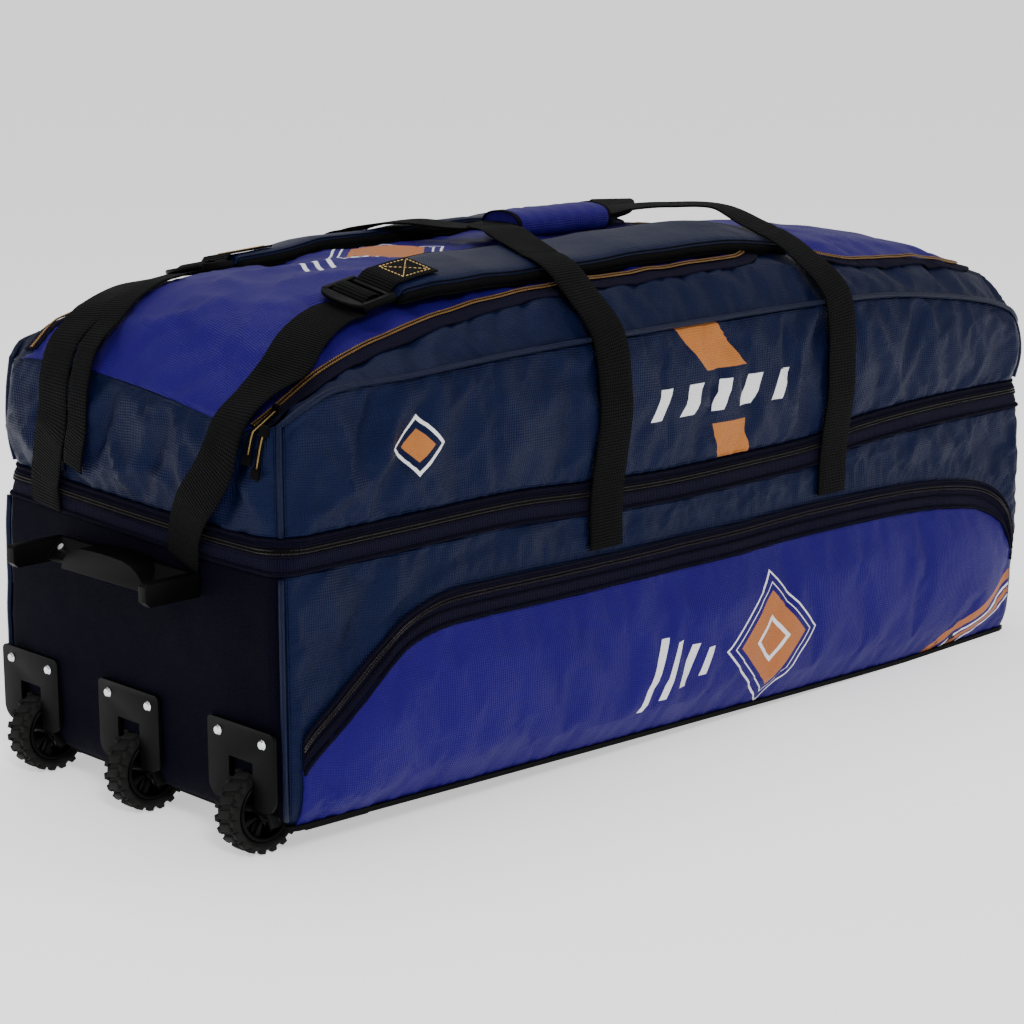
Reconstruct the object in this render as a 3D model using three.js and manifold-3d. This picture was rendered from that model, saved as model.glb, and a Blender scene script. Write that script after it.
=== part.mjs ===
// A wheeled cricket kit bag in millimetres, +Z up. The wheel end points to -X and the front to -Y.
// The origin is on the ground under the middle of the whole bag.

import * as THREE from 'three';
import { mergeVertices } from 'three/addons/utils/BufferGeometryUtils.js';
import Module from 'manifold-3d';

const wasm = await Module();
wasm.setup();

// Bag body
const BAG_LENGTH = 936;
const BAG_WIDTH = 352;
const SEAM_HEIGHT = 238;
const EDGE_HEIGHT = 356;
const CROWN_HEIGHT = 421;
const BASE_LIFT = 23;
const RAMP_START = 280;
const LOWER_CORNER = 14;
const UPPER_CORNER = 30;
const CORNER_SPREAD = 0.4;
const SHOULDER = 36;
const END_BOW = 5;
const SIDE_BOW = 3;
const LOWER_BULGE = 4;
const UPPER_BULGE = 5;
const BASE_ROUND = 6;
const CLOTH = 2.4;
const BASE_THICKNESS = 4;
const GAP = 0.3;
const EDGE_DROP = 0.6;
const WALL_DROP = 2.2;
const SEAT_CLEARANCE = 0.8;
const SHOULDER_LIFT = 1.5;
const FOLD_FADE = 0.2;
const STATION_STEP = 4.5;
const THINNING = 0.3;
const RAY_START = 90;

// Bands, zips and piping
const BAND_ABOVE = 9;
const BAND_BELOW = 17;
const COIL_WIDTH = 7;
const COIL_HEIGHT = 1.8;
const COIL_STAND = 1.4;
const LID_ZIP_WIDTH = 14;
const ZIP_END = 14;
const ZIP_STEP = 18;
const POCKET_BAND_BELOW = 21;
const POCKET_BAND_ABOVE = 6;
const PIPING_RADIUS = 2.2;
const PIPING_SIDES = 6;
const PULL_LENGTH = 26;
const PULL_WIDTH = 8;
const PULL_THICKNESS = 2.5;

// Lids and pocket
const LID_HALF_WIDTH = 140;
const MAIN_LID_END = 122;
const MAIN_LID_CORNER = 60;
const END_LID_START = 192;
const END_LID_END = 434;
const END_LID_CORNER = 48;
const POCKET_DEPTH = 10;
const POCKET_HEIGHT = 175;
const POCKET_INSET = 0.012;

// Straps
const WEBBING = 38;
const WEBBING_THICKNESS = 1.8;
const TAIL_WIDTH = 24;
const WEB_TURN = 40;
const PAD_WIDTH = 62;
const PAD_THICKNESS = 12;
const PAD_INSET = 78;
const PAD_START = -302;
const PAD_END = 168;
const PATCH_LENGTH = 42;
const BUCKLE_LENGTH = 40;
const BUCKLE_WIDTH = 50;
const BUCKLE_THICKNESS = 6;
const BUCKLE_SLOT = 8;
const WRAP_START = -78;
const WRAP_END = 42;
const WRAP_WIDTH = 48;
const WRAP_THICKNESS = 25;
const WRAP_RISE = 10;
const WRAP_ACROSS = -2;
const WRAP_MARGIN = 3;
const SLOT_SLACK = 0.6;
const HAUL_LEFT = -133;
const HAUL_RIGHT = 163;
const HAUL_FOOT = 187;

// Wheels, brackets and end handle
const WHEEL_RADIUS = 34;
const WHEEL_WIDTH = 24;
const WHEEL_SETBACK = 13;
const RIM_RADIUS = 24.5;
const AXLE_RADIUS = 4;
const BORE_CLEARANCE = 0.3;
const TREAD_COUNT = 14;
const TREAD_DEPTH = 3;
const SPOKE_COUNT = 8;
const HUB_RADIUS = 8;
const BRACKET_WIDTH = 78;
const BRACKET_TOP = 103;
const BRACKET_PLATE = 3;
const BRACKET_FOOT = 95;
const FOOT_WIDTH = 62;
const HOUSING_WIDTH = 56;
const HOUSING_ROUND = 22;
const HOUSING_CLEARANCE = 5;
const SLOT_TOP = 76;
const SLOT_FLARE = 6;
const PLATE_FOOT = 40;
const PLATE_ROUND = 5;
const PLATE_FOOT_ROUND = 12;
const CHEEK_FOOT = 27;
const CHEEK_REACH = 10;
const FOOT_START = 20;
const RIVET_SPACING = 52;
const RIVET_HEIGHT = 93;
const RIVET_RADIUS = 4.2;
const RIVET_RISE = 1.6;
const HANDLE_WIDTH = 180;
const HANDLE_REACH = 50;
const HANDLE_TOP = 209;
const HANDLE_FOOT_HEIGHT = 18;
const HANDLE_FOOT_THICKNESS = 9;
const GRIP_WIDTH = 108;
const GRIP_REACH = 25;
const GRIP_CROWN = 3;
const HANDLE_SHELF = 18;
const HANDLE_EDGE = 4;
const SHELF_LIP = 5;
const SCREW_RADIUS = 3;
const SCREW_LENGTH = 2;
const SCREW_ACROSS = 72;

const HALF_LENGTH = BAG_LENGTH / 2;
const HALF_WIDTH = BAG_WIDTH / 2;
const PAD_ACROSS = HALF_WIDTH - PAD_INSET;
const WRAP_HEIGHT = CROWN_HEIGHT + WRAP_RISE;
const WHEEL_SPACING = HALF_WIDTH - BRACKET_WIDTH / 2;

// Webbing down the wheel end, from the shoulder to its foot: inward is counted from the near or
// far side of the bag, and drop from EDGE_HEIGHT.
const NEAR_WEB_ROWS = [
  { inward: 52, drop: 34 },
  { inward: 68, drop: 56 },
  { inward: 84, drop: 84 },
  { inward: 96, drop: 115 },
  { inward: 106, drop: 142 },
];
const FAR_WEB_ROWS = [
  { inward: 96, drop: 24 },
  { inward: 88, drop: 51 },
  { inward: 77, drop: 84 },
  { inward: 71, drop: 105 },
  { inward: 68, drop: 127 },
];
const TAIL_ROWS = [
  { inward: 130, drop: 24 },
  { inward: 124, drop: 51 },
  { inward: 119, drop: 74 },
  { inward: 116, drop: 88 },
];

// Top edge of the upper walls round the bag, one side for each whole number from the near
// wheel-end corner; height is a share of EDGE_HEIGHT.
const EDGE_ROWS = [
  { around: 0.0, height: 0.925 },
  { around: 0.02, height: 0.963 },
  { around: 0.05, height: 0.988 },
  { around: 0.12, height: 0.992 },
  { around: 0.25, height: 1.006 },
  { around: 0.4, height: 1.011 },
  { around: 0.62, height: 1.014 },
  { around: 0.75, height: 1.006 },
  { around: 0.82, height: 0.989 },
  { around: 0.92, height: 0.951 },
  { around: 0.97, height: 0.915 },
  { around: 1.0, height: 0.868 },
  { around: 1.15, height: 0.92 },
  { around: 1.5, height: 0.94 },
  { around: 1.85, height: 0.92 },
  { around: 2.0, height: 0.868 },
  { around: 2.03, height: 0.915 },
  { around: 2.08, height: 0.951 },
  { around: 2.2, height: 0.992 },
  { around: 2.4, height: 1.014 },
  { around: 2.75, height: 1.011 },
  { around: 2.93, height: 1.006 },
  { around: 2.98, height: 0.985 },
  { around: 3.0, height: 0.955 },
  { around: 3.12, height: 0.972 },
  { around: 3.35, height: 0.972 },
  { around: 3.6, height: 0.953 },
  { around: 3.8, height: 0.926 },
  { around: 3.93, height: 0.905 },
  { around: 4.0, height: 0.925 },
];

// The top along the bag: along is a share of half the length, crown and rim are shares of
// CROWN_HEIGHT on the middle line and at the lids' long edges, lean is a share of it too.
const TOP_ROWS = [
  { along: -1.0, crown: 0.845, rim: 0.8, lean: 0.036 },
  { along: -0.925, crown: 0.912, rim: 0.838, lean: 0.034 },
  { along: -0.85, crown: 0.95, rim: 0.874, lean: 0.028 },
  { along: -0.73, crown: 0.969, rim: 0.9, lean: 0.014 },
  { along: -0.6, crown: 0.976, rim: 0.918, lean: 0.004 },
  { along: -0.41, crown: 0.98, rim: 0.937, lean: 0 },
  { along: 0.0, crown: 0.986, rim: 0.95, lean: 0 },
  { along: 0.18, crown: 0.983, rim: 0.947, lean: 0 },
  { along: 0.41, crown: 0.966, rim: 0.922, lean: 0 },
  { along: 0.65, crown: 0.942, rim: 0.905, lean: 0 },
  { along: 0.81, crown: 0.918, rim: 0.879, lean: 0 },
  { along: 0.9, crown: 0.89, rim: 0.851, lean: 0 },
  { along: 1.0, crown: 0.83, rim: 0.81, lean: 0 },
];

// The seam's sway along the bag, as a share of SEAM_HEIGHT.
const SEAM_ROWS = [
  { along: -1.0, sway: -0.006 },
  { along: -0.77, sway: -0.002 },
  { along: -0.5, sway: 0.002 },
  { along: -0.32, sway: -0.018 },
  { along: -0.12, sway: -0.034 },
  { along: 0.1, sway: -0.032 },
  { along: 0.31, sway: -0.022 },
  { along: 0.41, sway: 0.01 },
  { along: 0.67, sway: 0.03 },
  { along: 1.0, sway: 0.026 },
];
const SEAM_RISE = 9;

// The pocket's zip line on the front: height is a share of POCKET_HEIGHT.
const POCKET_ROWS = [
  { along: -0.975, height: 0.44 },
  { along: -0.955, height: 0.53 },
  { along: -0.885, height: 0.672 },
  { along: -0.8, height: 0.846 },
  { along: -0.75, height: 0.943 },
  { along: -0.685, height: 0.998 },
  { along: -0.6, height: 1.01 },
  { along: -0.386, height: 1.0 },
  { along: 0.0, height: 0.994 },
  { along: 0.27, height: 1.0 },
  { along: 0.52, height: 0.99 },
  { along: 0.75, height: 0.937 },
  { along: 0.875, height: 0.85 },
  { along: 0.94, height: 0.71 },
  { along: 0.965, height: 0.52 },
];

// Soft folds in the walls: around as in EDGE_ROWS, up is a share of EDGE_HEIGHT, reach is the
// half width in sides, spread the half height as a share of EDGE_HEIGHT, push in millimetres.
const FOLD_ROWS = [
  { around: 0.11, up: 0.93, reach: 0.016, spread: 0.07, slant: 0.1, push: -4 },
  { around: 0.15, up: 0.9, reach: 0.016, spread: 0.08, slant: 0.08, push: 3 },
  { around: 0.035, up: 0.8, reach: 0.012, spread: 0.1, slant: 0.05, push: -3 },
  { around: 0.66, up: 0.93, reach: 0.018, spread: 0.06, slant: 0, push: -3 },
  { around: 0.74, up: 0.92, reach: 0.018, spread: 0.06, slant: 0, push: -3 },
  { around: 0.24, up: 0.6, reach: 0.04, spread: 0.03, slant: -0.4, push: 3 },
  { around: 3.42, up: 0.84, reach: 0.05, spread: 0.06, slant: 0.5, push: -4 },
  { around: 3.62, up: 0.78, reach: 0.05, spread: 0.06, slant: -0.4, push: -4 },
  { around: 3.85, up: 0.8, reach: 0.04, spread: 0.08, slant: 0.3, push: -4 },
];

// How many spans a long and a short side are divided into between their corners.
const LONG_SPANS = 12;
const SHORT_SPANS = 5;

const SIDES = [
  { along: [1, 0], out: [0, -1], long: true },
  { along: [0, 1], out: [1, 0], long: false },
  { along: [-1, 0], out: [0, 1], long: true },
  { along: [0, -1], out: [-1, 0], long: false },
];

const bag = new THREE.Group();

// Materials
const navyCloth = { color: '#1d2d4d', roughness: 0.72, metalness: 0 };
const royalCloth = { color: '#2d2796', roughness: 0.6, metalness: 0 };
const indigoTape = { color: '#1e193c', roughness: 0.8, metalness: 0 };
const endCloth = { color: '#15121f', roughness: 0.85, metalness: 0 };
const blackWebbing = { color: '#121214', roughness: 0.82, metalness: 0 };
const blackPlastic = { color: '#17181a', roughness: 0.48, metalness: 0 };
const goldCoil = { color: '#c9a25a', roughness: 0.42, metalness: 0.4 };
const chrome = { color: '#d8d9db', roughness: 0.18, metalness: 1 };
const darkSteel = { color: '#3a3b3e', roughness: 0.35, metalness: 1 };
const tyreRubber = { color: '#161617', roughness: 0.88, metalness: 0 };

// Names a geometry as a piece of the bag and returns its mesh.
function addPiece(name, geometry, look) {
  const mesh = new THREE.Mesh(tidyMesh(geometry), new THREE.MeshStandardMaterial(look));
  mesh.name = name;
  bag.add(mesh);
  mesh.updateMatrixWorld();
  return mesh;
}

function mix(a, b, t) {
  return a + (b - a) * t;
}

function smooth(t) {
  const clamped = Math.min(1, Math.max(0, t));
  return clamped * clamped * (3 - 2 * clamped);
}

// Reads one column of a table with a smooth curve through its rows.
function readRows(rows, key, at, column) {
  const last = rows.length - 1;
  const place = Math.min(rows[last][key], Math.max(rows[0][key], at));
  const next = Math.max(1, rows.findIndex((row) => row[key] >= place));
  const slope = (index) => {
    const before = rows[Math.max(0, index - 1)];
    const after = rows[Math.min(last, index + 1)];
    return (after[column] - before[column]) / (after[key] - before[key]);
  };
  const from = rows[next - 1];
  const to = rows[next];
  const span = to[key] - from[key];
  const t = (place - from[key]) / span;
  const bend = t * (1 - t);
  const rise = to[column] - from[column];
  const pull = (slope(next - 1) * span - rise) * (1 - t) - (slope(next) * span - rise) * t;
  return mix(from[column], to[column], t) + bend * pull;
}

// A point of the bag's plan outline, drawn in by inset, with its outward direction.
function planPoint(around, inset, radius) {
  const index = Math.min(3, Math.floor(around));
  const side = SIDES[index];
  const half = (side.long ? HALF_LENGTH : HALF_WIDTH) - inset;
  const reach = (side.long ? HALF_WIDTH : HALF_LENGTH) - inset;
  const round = Math.max(0, Math.min(radius, half, reach));
  const arc = round * Math.PI / 4;
  const straight = 2 * (half - round);
  const run = (around - index) * (straight + 2 * arc);
  let turn = 0;
  let along = run - arc - half + round;
  if (run < arc) {
    turn = run / round - Math.PI / 4;
    along = -(half - round) + round * Math.sin(turn);
  } else if (run > arc + straight) {
    turn = (run - arc - straight) / round;
    along = half - round + round * Math.sin(turn);
  }
  const farthest = half - round + round * Math.SQRT1_2;
  const bow = (side.long ? SIDE_BOW : END_BOW) * (1 - inset / HALF_WIDTH);
  const bowed = farthest > 0 ? bow * (1 - (along / farthest) ** 2) : 0;
  const out = reach - round + round * Math.cos(turn) + bowed;
  return {
    x: side.along[0] * along + side.out[0] * out,
    y: side.along[1] * along + side.out[1] * out,
    outX: side.along[0] * Math.sin(turn) + side.out[0] * Math.cos(turn),
    outY: side.along[1] * Math.sin(turn) + side.out[1] * Math.cos(turn),
  };
}

// The places along one side where the sheets have their columns: close at the corners.
function sideStops(side) {
  const { long } = SIDES[side];
  const half = long ? HALF_LENGTH : HALF_WIDTH;
  const arc = (UPPER_CORNER * Math.PI) / 4;
  const corner = arc / (2 * (half - UPPER_CORNER) + 2 * arc);
  const spans = long ? LONG_SPANS : SHORT_SPANS;
  const middle = Array.from({ length: spans + 1 }, (_, i) => mix(corner, 1 - corner, i / spans));
  return [0, corner / 2, ...middle, 1 - corner / 2, 1];
}

function ringStops() {
  return SIDES.flatMap((_, side) => sideStops(side).slice(0, -1).map((share) => side + share));
}

// Height of the underside: flat at the far end, rising in a straight ramp to the wheel end.
function baseHeight(x) {
  return BASE_LIFT * Math.max(0, RAMP_START - x) / (RAMP_START + HALF_LENGTH);
}

function seamHeight(x, y) {
  const sway = readRows(SEAM_ROWS, 'along', x / HALF_LENGTH, 'sway');
  const rise = SEAM_RISE * smooth(0.5 + y / BAG_WIDTH) * Math.max(0, -x / HALF_LENGTH);
  return SEAM_HEIGHT * (1 + sway) + rise;
}

function edgeHeight(around) {
  return EDGE_HEIGHT * readRows(EDGE_ROWS, 'around', around, 'height');
}

function foldPush(around, z, fade) {
  let push = 0;
  for (const fold of FOLD_ROWS) {
    const up = (z / EDGE_HEIGHT - fold.up) / fold.spread;
    const side = (around - fold.around) / fold.reach - fold.slant * up;
    push += fold.push * Math.exp(-side * side - up * up);
  }
  return push * smooth(fade / FOLD_FADE);
}

// A point of the walls' outer face at a height, with its outward direction.
function wallPoint(around, z) {
  const plan = planPoint(around, 0, UPPER_CORNER);
  const base = baseHeight(plan.x);
  const seam = seamHeight(plan.x, plan.y);
  const lower = (z - base) / (seam - BAND_BELOW - base);
  const upper = (z - seam - BAND_ABOVE) / (edgeHeight(around) - seam - BAND_ABOVE);
  const blend = smooth((z - seam + BAND_BELOW) / (BAND_ABOVE + BAND_BELOW));
  const point = planPoint(around, 0, mix(LOWER_CORNER, UPPER_CORNER, blend));
  let out = 0;
  if (upper > 0) {
    out = UPPER_BULGE * Math.sin(Math.PI * Math.min(1, upper));
    out += foldPush(around, z, Math.min(upper, 1 - upper));
  } else if (lower < 1) {
    const tuck = Math.max(0, 1 - lower * SEAM_HEIGHT / (3 * BASE_ROUND));
    out = LOWER_BULGE * Math.sin(Math.PI * Math.max(0, lower)) - BASE_ROUND * tuck ** 2;
    out += foldPush(around, z, Math.min(lower, 1 - lower));
  }
  return {
    at: new THREE.Vector3(point.x + point.outX * out, point.y + point.outY * out, z),
    out: new THREE.Vector3(point.outX, point.outY, 0),
  };
}

// Height of the top over a plan point well inside the shoulder.
function crownHeight(x, y) {
  const along = x / HALF_LENGTH;
  const across = y / LID_HALF_WIDTH;
  const crown = readRows(TOP_ROWS, 'along', along, 'crown');
  const rim = readRows(TOP_ROWS, 'along', along, 'rim');
  const lean = readRows(TOP_ROWS, 'along', along, 'lean');
  return CROWN_HEIGHT * (crown + (rim - crown) * Math.min(1.1, across ** 2) + lean * across);
}

// A point of the top's outer face; inset 0 is the walls' top edge.
function topPoint(around, inset) {
  const plan = planPoint(around, inset, UPPER_CORNER + CORNER_SPREAD * inset);
  const edge = edgeHeight(around);
  const crown = crownHeight(plan.x, plan.y);
  const share = Math.min(1, inset / SHOULDER);
  const rise = crown > edge ? Math.sin(Math.PI / 2 * share) : smooth(share);
  return new THREE.Vector3(plan.x, plan.y, mix(edge, crown, rise));
}

// The top's outward direction on the shoulder.
function topNormal(around, inset) {
  const [turn, step] = [0.002, 1];
  const along = topPoint((around + turn) % 4, inset).sub(topPoint((around + 4 - turn) % 4, inset));
  const inward = topPoint(around, inset + step).sub(topPoint(around, inset));
  return along.cross(inward).normalize();
}

// Closes the space between two grids of points, grid[column][row], columns to the right and
// rows upwards when seen from outside. A ring joins its last column to its first, and a cap
// folds its last row shut on itself.
function closedSheet(outer, inner, { ring = false, cap = false } = {}) {
  const columns = outer.length;
  const rows = outer[0].length;
  const positions = [];
  for (const grid of [outer, inner]) {
    for (const column of grid) {
      for (const point of column) {
        positions.push(point.x, point.y, point.z);
      }
    }
  }
  const front = (i, j) => (i % columns) * rows + j;
  const back = (i, j) => columns * rows + front(i, j);
  const indices = [];
  const quad = (a, b, c, d) => indices.push(a, b, c, a, c, d);
  const spans = ring ? columns : columns - 1;
  for (let i = 0; i < spans; i += 1) {
    for (let j = 0; j < rows - 1; j += 1) {
      quad(front(i, j), front(i + 1, j), front(i + 1, j + 1), front(i, j + 1));
      quad(back(i + 1, j), back(i, j), back(i, j + 1), back(i + 1, j + 1));
    }
    quad(back(i, 0), back(i + 1, 0), front(i + 1, 0), front(i, 0));
    if (!cap) {
      const top = rows - 1;
      quad(front(i, top), front(i + 1, top), back(i + 1, top), back(i, top));
    }
  }
  if (!ring) {
    const end = columns - 1;
    for (let j = 0; j < rows - 1; j += 1) {
      quad(back(0, j), front(0, j), front(0, j + 1), back(0, j + 1));
      quad(front(end, j), back(end, j), back(end, j + 1), front(end, j + 1));
    }
  }
  const geometry = new THREE.BufferGeometry();
  geometry.setAttribute('position', new THREE.Float32BufferAttribute(positions, 3));
  geometry.setIndex(indices);
  return tidyMesh(geometry);
}

// Merges shared vertices and drops triangles that have no area.
function tidyMesh(source) {
  const bare = source.clone();
  bare.deleteAttribute('normal');
  bare.deleteAttribute('uv');
  const merged = mergeVertices(bare, 1e-4);
  const corners = merged.index.array;
  const kept = [];
  for (let i = 0; i < corners.length; i += 3) {
    const [a, b, c] = [corners[i], corners[i + 1], corners[i + 2]];
    if (a !== b && b !== c && c !== a) {
      kept.push(a, b, c);
    }
  }
  merged.setIndex(kept);
  merged.computeVertexNormals();
  return merged;
}

function solidOf(geometry) {
  const merged = tidyMesh(geometry);
  return new wasm.Manifold(new wasm.Mesh({
    numProp: 3,
    vertProperties: Float32Array.from(merged.attributes.position.array),
    triVerts: Uint32Array.from(merged.index.array),
  }));
}

function geometryOf(solid) {
  const mesh = solid.getMesh();
  const geometry = new THREE.BufferGeometry();
  geometry.setAttribute('position', new THREE.BufferAttribute(mesh.vertProperties, 3));
  geometry.setIndex(new THREE.BufferAttribute(mesh.triVerts, 1));
  geometry.computeVertexNormals();
  return geometry;
}

function box(xFrom, xTo, yFrom, yTo, zFrom, zTo) {
  const geometry = new THREE.BoxGeometry(xTo - xFrom, yTo - yFrom, zTo - zFrom);
  geometry.translate((xFrom + xTo) / 2, (yFrom + yTo) / 2, (zFrom + zTo) / 2);
  return geometry;
}

// Walls

// A cloth wall over one side of the outline between two heights that vary along it.
function wallSheet(side, trim, rows, lowHeight, highHeight) {
  const outer = [];
  const inner = [];
  for (const share of sideStops(side)) {
    const around = side + Math.min(1 - trim, Math.max(trim, share));
    const low = lowHeight(around);
    const high = highHeight(around);
    const faces = Array.from({ length: rows + 1 }, (_, j) => wallPoint(around, mix(low, high, j / rows)));
    outer.push(faces.map((face) => face.at));
    inner.push(faces.map((face) => face.at.clone().addScaledVector(face.out, -CLOTH)));
  }
  return closedSheet(outer, inner);
}

function planAt(around) {
  return planPoint(around, 0, UPPER_CORNER);
}

function floorLine(around) {
  return baseHeight(planAt(around).x) + BASE_THICKNESS + GAP;
}

function bandLow(around) {
  const plan = planAt(around);
  return seamHeight(plan.x, plan.y) - BAND_BELOW;
}

function bandHigh(around) {
  const plan = planAt(around);
  return seamHeight(plan.x, plan.y) + BAND_ABOVE;
}

const SIDE_NAMES = ['front', 'far_end', 'back', 'wheel_end'];

function addWalls() {
  SIDE_NAMES.forEach((name, side) => {
    const trim = GAP / (SIDES[side].long ? BAG_LENGTH : BAG_WIDTH);
    const lowerTop = (around) => bandLow(around) - GAP;
    const upperFoot = (around) => bandHigh(around) + GAP;
    const upperTop = (around) => edgeHeight(around) - WALL_DROP;
    const lower = wallSheet(side, trim, 4, floorLine, lowerTop);
    const upper = wallSheet(side, trim, 3, upperFoot, upperTop);
    const isWheelEnd = name === 'wheel_end';
    addPiece(`lower_${name}`, isWheelEnd ? cutWheelWells(lower) : lower, isWheelEnd ? endCloth : navyCloth);
    addPiece(`upper_${name}`, upper, navyCloth);
  });
}

// Removes the room of the wheel housings, with a clearance, from a piece of the wheel end.
function cutWheelWells(geometry) {
  let solid = solidOf(geometry);
  for (const { y } of wheelRow()) {
    const half = HOUSING_WIDTH / 2 + GAP;
    const well = box(
      -BAG_LENGTH, housingBack(y) + GAP, y - half, y + half, -BASE_LIFT, housingTop() + GAP,
    );
    solid = solid.subtract(solidOf(well));
  }
  return geometryOf(solid);
}

// The stiff base: a slab under the walls that follows the ramp.
function addBase() {
  const outline = (around) => {
    const point = wallPoint(around, baseHeight(planAt(around).x) + BASE_THICKNESS);
    return point.at;
  };
  const under = [];
  const over = [];
  for (const stop of sideStops(0)) {
    const share = Math.min(0.999, Math.max(0.001, stop));
    const near = outline(share);
    const far = outline(3 - share);
    const low = baseHeight(near.x);
    under.push([new THREE.Vector3(near.x, far.y, low), new THREE.Vector3(near.x, near.y, low)]);
    over.push([
      new THREE.Vector3(near.x, far.y, low + BASE_THICKNESS),
      new THREE.Vector3(near.x, near.y, low + BASE_THICKNESS),
    ]);
  }
  addPiece('bottom_board', cutWheelWells(closedSheet(under, over)), blackPlastic);
}

// The tape band round the bag between the two compartments, and the zip on it.
function addMidBand() {
  const outer = [];
  const inner = [];
  const coilOuter = [];
  const coilInner = [];
  for (const around of ringStops()) {
    const plan = planAt(around);
    const seam = seamHeight(plan.x, plan.y);
    const heights = [seam - BAND_BELOW, seam + BAND_ABOVE];
    const faces = heights.map((z) => wallPoint(around, z));
    outer.push(faces.map((face) => face.at));
    inner.push(faces.map((face) => face.at.clone().addScaledVector(face.out, -CLOTH)));
    const { out } = faces[0];
    const rail = [-COIL_WIDTH / 2, COIL_WIDTH / 2].map((dz) => (
      faces[0].at.clone().lerp(faces[1].at, (BAND_BELOW + dz) / (BAND_BELOW + BAND_ABOVE))
    ));
    coilInner.push(rail.map((at) => at.clone().addScaledVector(out, COIL_STAND)));
    coilOuter.push(rail.map((at) => at.clone().addScaledVector(out, COIL_STAND + COIL_HEIGHT)));
  }
  addPiece('mid_band', closedSheet(outer, inner, { ring: true }), indigoTape);
  addPiece('mid_zip', closedSheet(coilOuter, coilInner, { ring: true }), darkSteel);
}

// The top and its lids

// The whole top as one shell, from the walls' edge to the ridge in the middle.
function topShell() {
  const shoulder = [0, 0.17, 0.4, 0.68].map((share) => share * SHOULDER);
  const crown = [0, 0.3, 0.65, 1].map((share) => mix(SHOULDER, HALF_WIDTH, share));
  const insets = [...shoulder, ...crown];
  const outer = [];
  const inner = [];
  for (const around of ringStops()) {
    const line = insets.map((inset) => topPoint(around, inset));
    const footing = line[1].clone().sub(line[0]).setZ(0).setLength(CLOTH).setZ(-EDGE_DROP);
    outer.push(line);
    inner.push(line.map((point, j) => {
      if (j === 0) {
        return point.clone().add(footing);
      }
      const isSlope = insets[j] < SHOULDER && point.z > line[0].z;
      const away = isSlope ? topNormal(around, insets[j]) : new THREE.Vector3(0, 0, 1);
      return point.clone().addScaledVector(away, -CLOTH);
    }));
  }
  return solidOf(closedSheet(outer, inner, { ring: true, cap: true }));
}

// A tall block over a rounded rectangle of the plan, grown by a margin.
function planBlock(xFrom, xTo, halfWidth, corner, margin) {
  const shape = new THREE.Shape();
  const [left, right] = [xFrom - margin, xTo + margin];
  const reach = halfWidth + margin;
  const round = corner + margin;
  shape.moveTo(left + round, -reach);
  shape.absarc(right - round, -reach + round, round, -Math.PI / 2, 0);
  shape.absarc(right - round, reach - round, round, 0, Math.PI / 2);
  shape.absarc(left + round, reach - round, round, Math.PI / 2, Math.PI);
  shape.absarc(left + round, -reach + round, round, Math.PI, Math.PI * 1.5);
  const depth = CROWN_HEIGHT;
  const geometry = new THREE.ExtrudeGeometry(shape, { depth, bevelEnabled: false, curveSegments: 6 });
  geometry.translate(0, 0, SEAM_HEIGHT);
  return solidOf(geometry);
}

const LIDS = [
  { name: 'main', from: -BAG_LENGTH, to: MAIN_LID_END, corner: MAIN_LID_CORNER },
  { name: 'end', from: END_LID_START, to: END_LID_END, corner: END_LID_CORNER },
];

function addTop() {
  const shell = topShell();
  let frame = shell;
  for (const lid of LIDS) {
    const block = (margin) => planBlock(lid.from, lid.to, LID_HALF_WIDTH, lid.corner, margin);
    frame = frame.subtract(block(GAP));
    addPiece(`${lid.name}_lid`, geometryOf(shell.intersect(block(-GAP))), royalCloth);
  }
  addPiece('top_panel', geometryOf(frame), navyCloth);
}

// Laying bands on the bag

const ray = new THREE.Raycaster();

// How far a point can drop against its up direction before it meets one of the pieces.
function seatHeight(at, up, ground) {
  const start = at.clone().addScaledVector(up, RAY_START);
  ray.set(start, up.clone().negate());
  const hits = ray.intersectObjects(ground, false);
  return hits.length > 0 ? RAY_START - hits[0].distance : -Infinity;
}

// Samples a route as stations, each seated on the ground pieces over the band's whole width.
// A row holds its place, its up direction, how far it stands off what it crosses, and the
// least height above its own place, which keeps a free stretch in the air.
function seatRoute(route, width, ground, clearance) {
  const curve = new THREE.CatmullRomCurve3(route.map((row) => row.at), false, 'centripetal');
  const count = Math.max(2, Math.round(curve.getLength() / STATION_STEP));
  const stations = [];
  for (let i = 0; i <= count; i += 1) {
    const t = i / count;
    const place = t * (route.length - 1);
    const index = Math.min(route.length - 2, Math.floor(place));
    const share = place - index;
    const up = route[index].up.clone().lerp(route[index + 1].up, share);
    const tangent = curve.getTangent(t);
    up.addScaledVector(tangent, -up.dot(tangent)).normalize();
    const side = new THREE.Vector3().crossVectors(up, tangent);
    const at = curve.getPoint(t);
    const drops = [-1, -0.5, 0, 0.5, 1].map((k) => (
      seatHeight(at.clone().addScaledVector(side, k * width / 2), up, ground)
    ));
    const lift = mix(route[index].lift, route[index + 1].lift, share);
    const least = mix(route[index].least, route[index + 1].least, share);
    const rise = Math.max(least, Math.max(...drops) + clearance + lift);
    stations.push({ at, up, side, rise });
  }
  const crest = (i) => Math.max(
    stations[Math.max(0, i - 1)].rise, stations[i].rise, stations[Math.min(count, i + 1)].rise,
  );
  const seated = stations.map((station, i) => ({
    at: station.at.clone().addScaledVector(station.up, crest(i)),
    up: station.up,
    side: station.side,
  }));
  return thinStations(seated);
}

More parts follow.
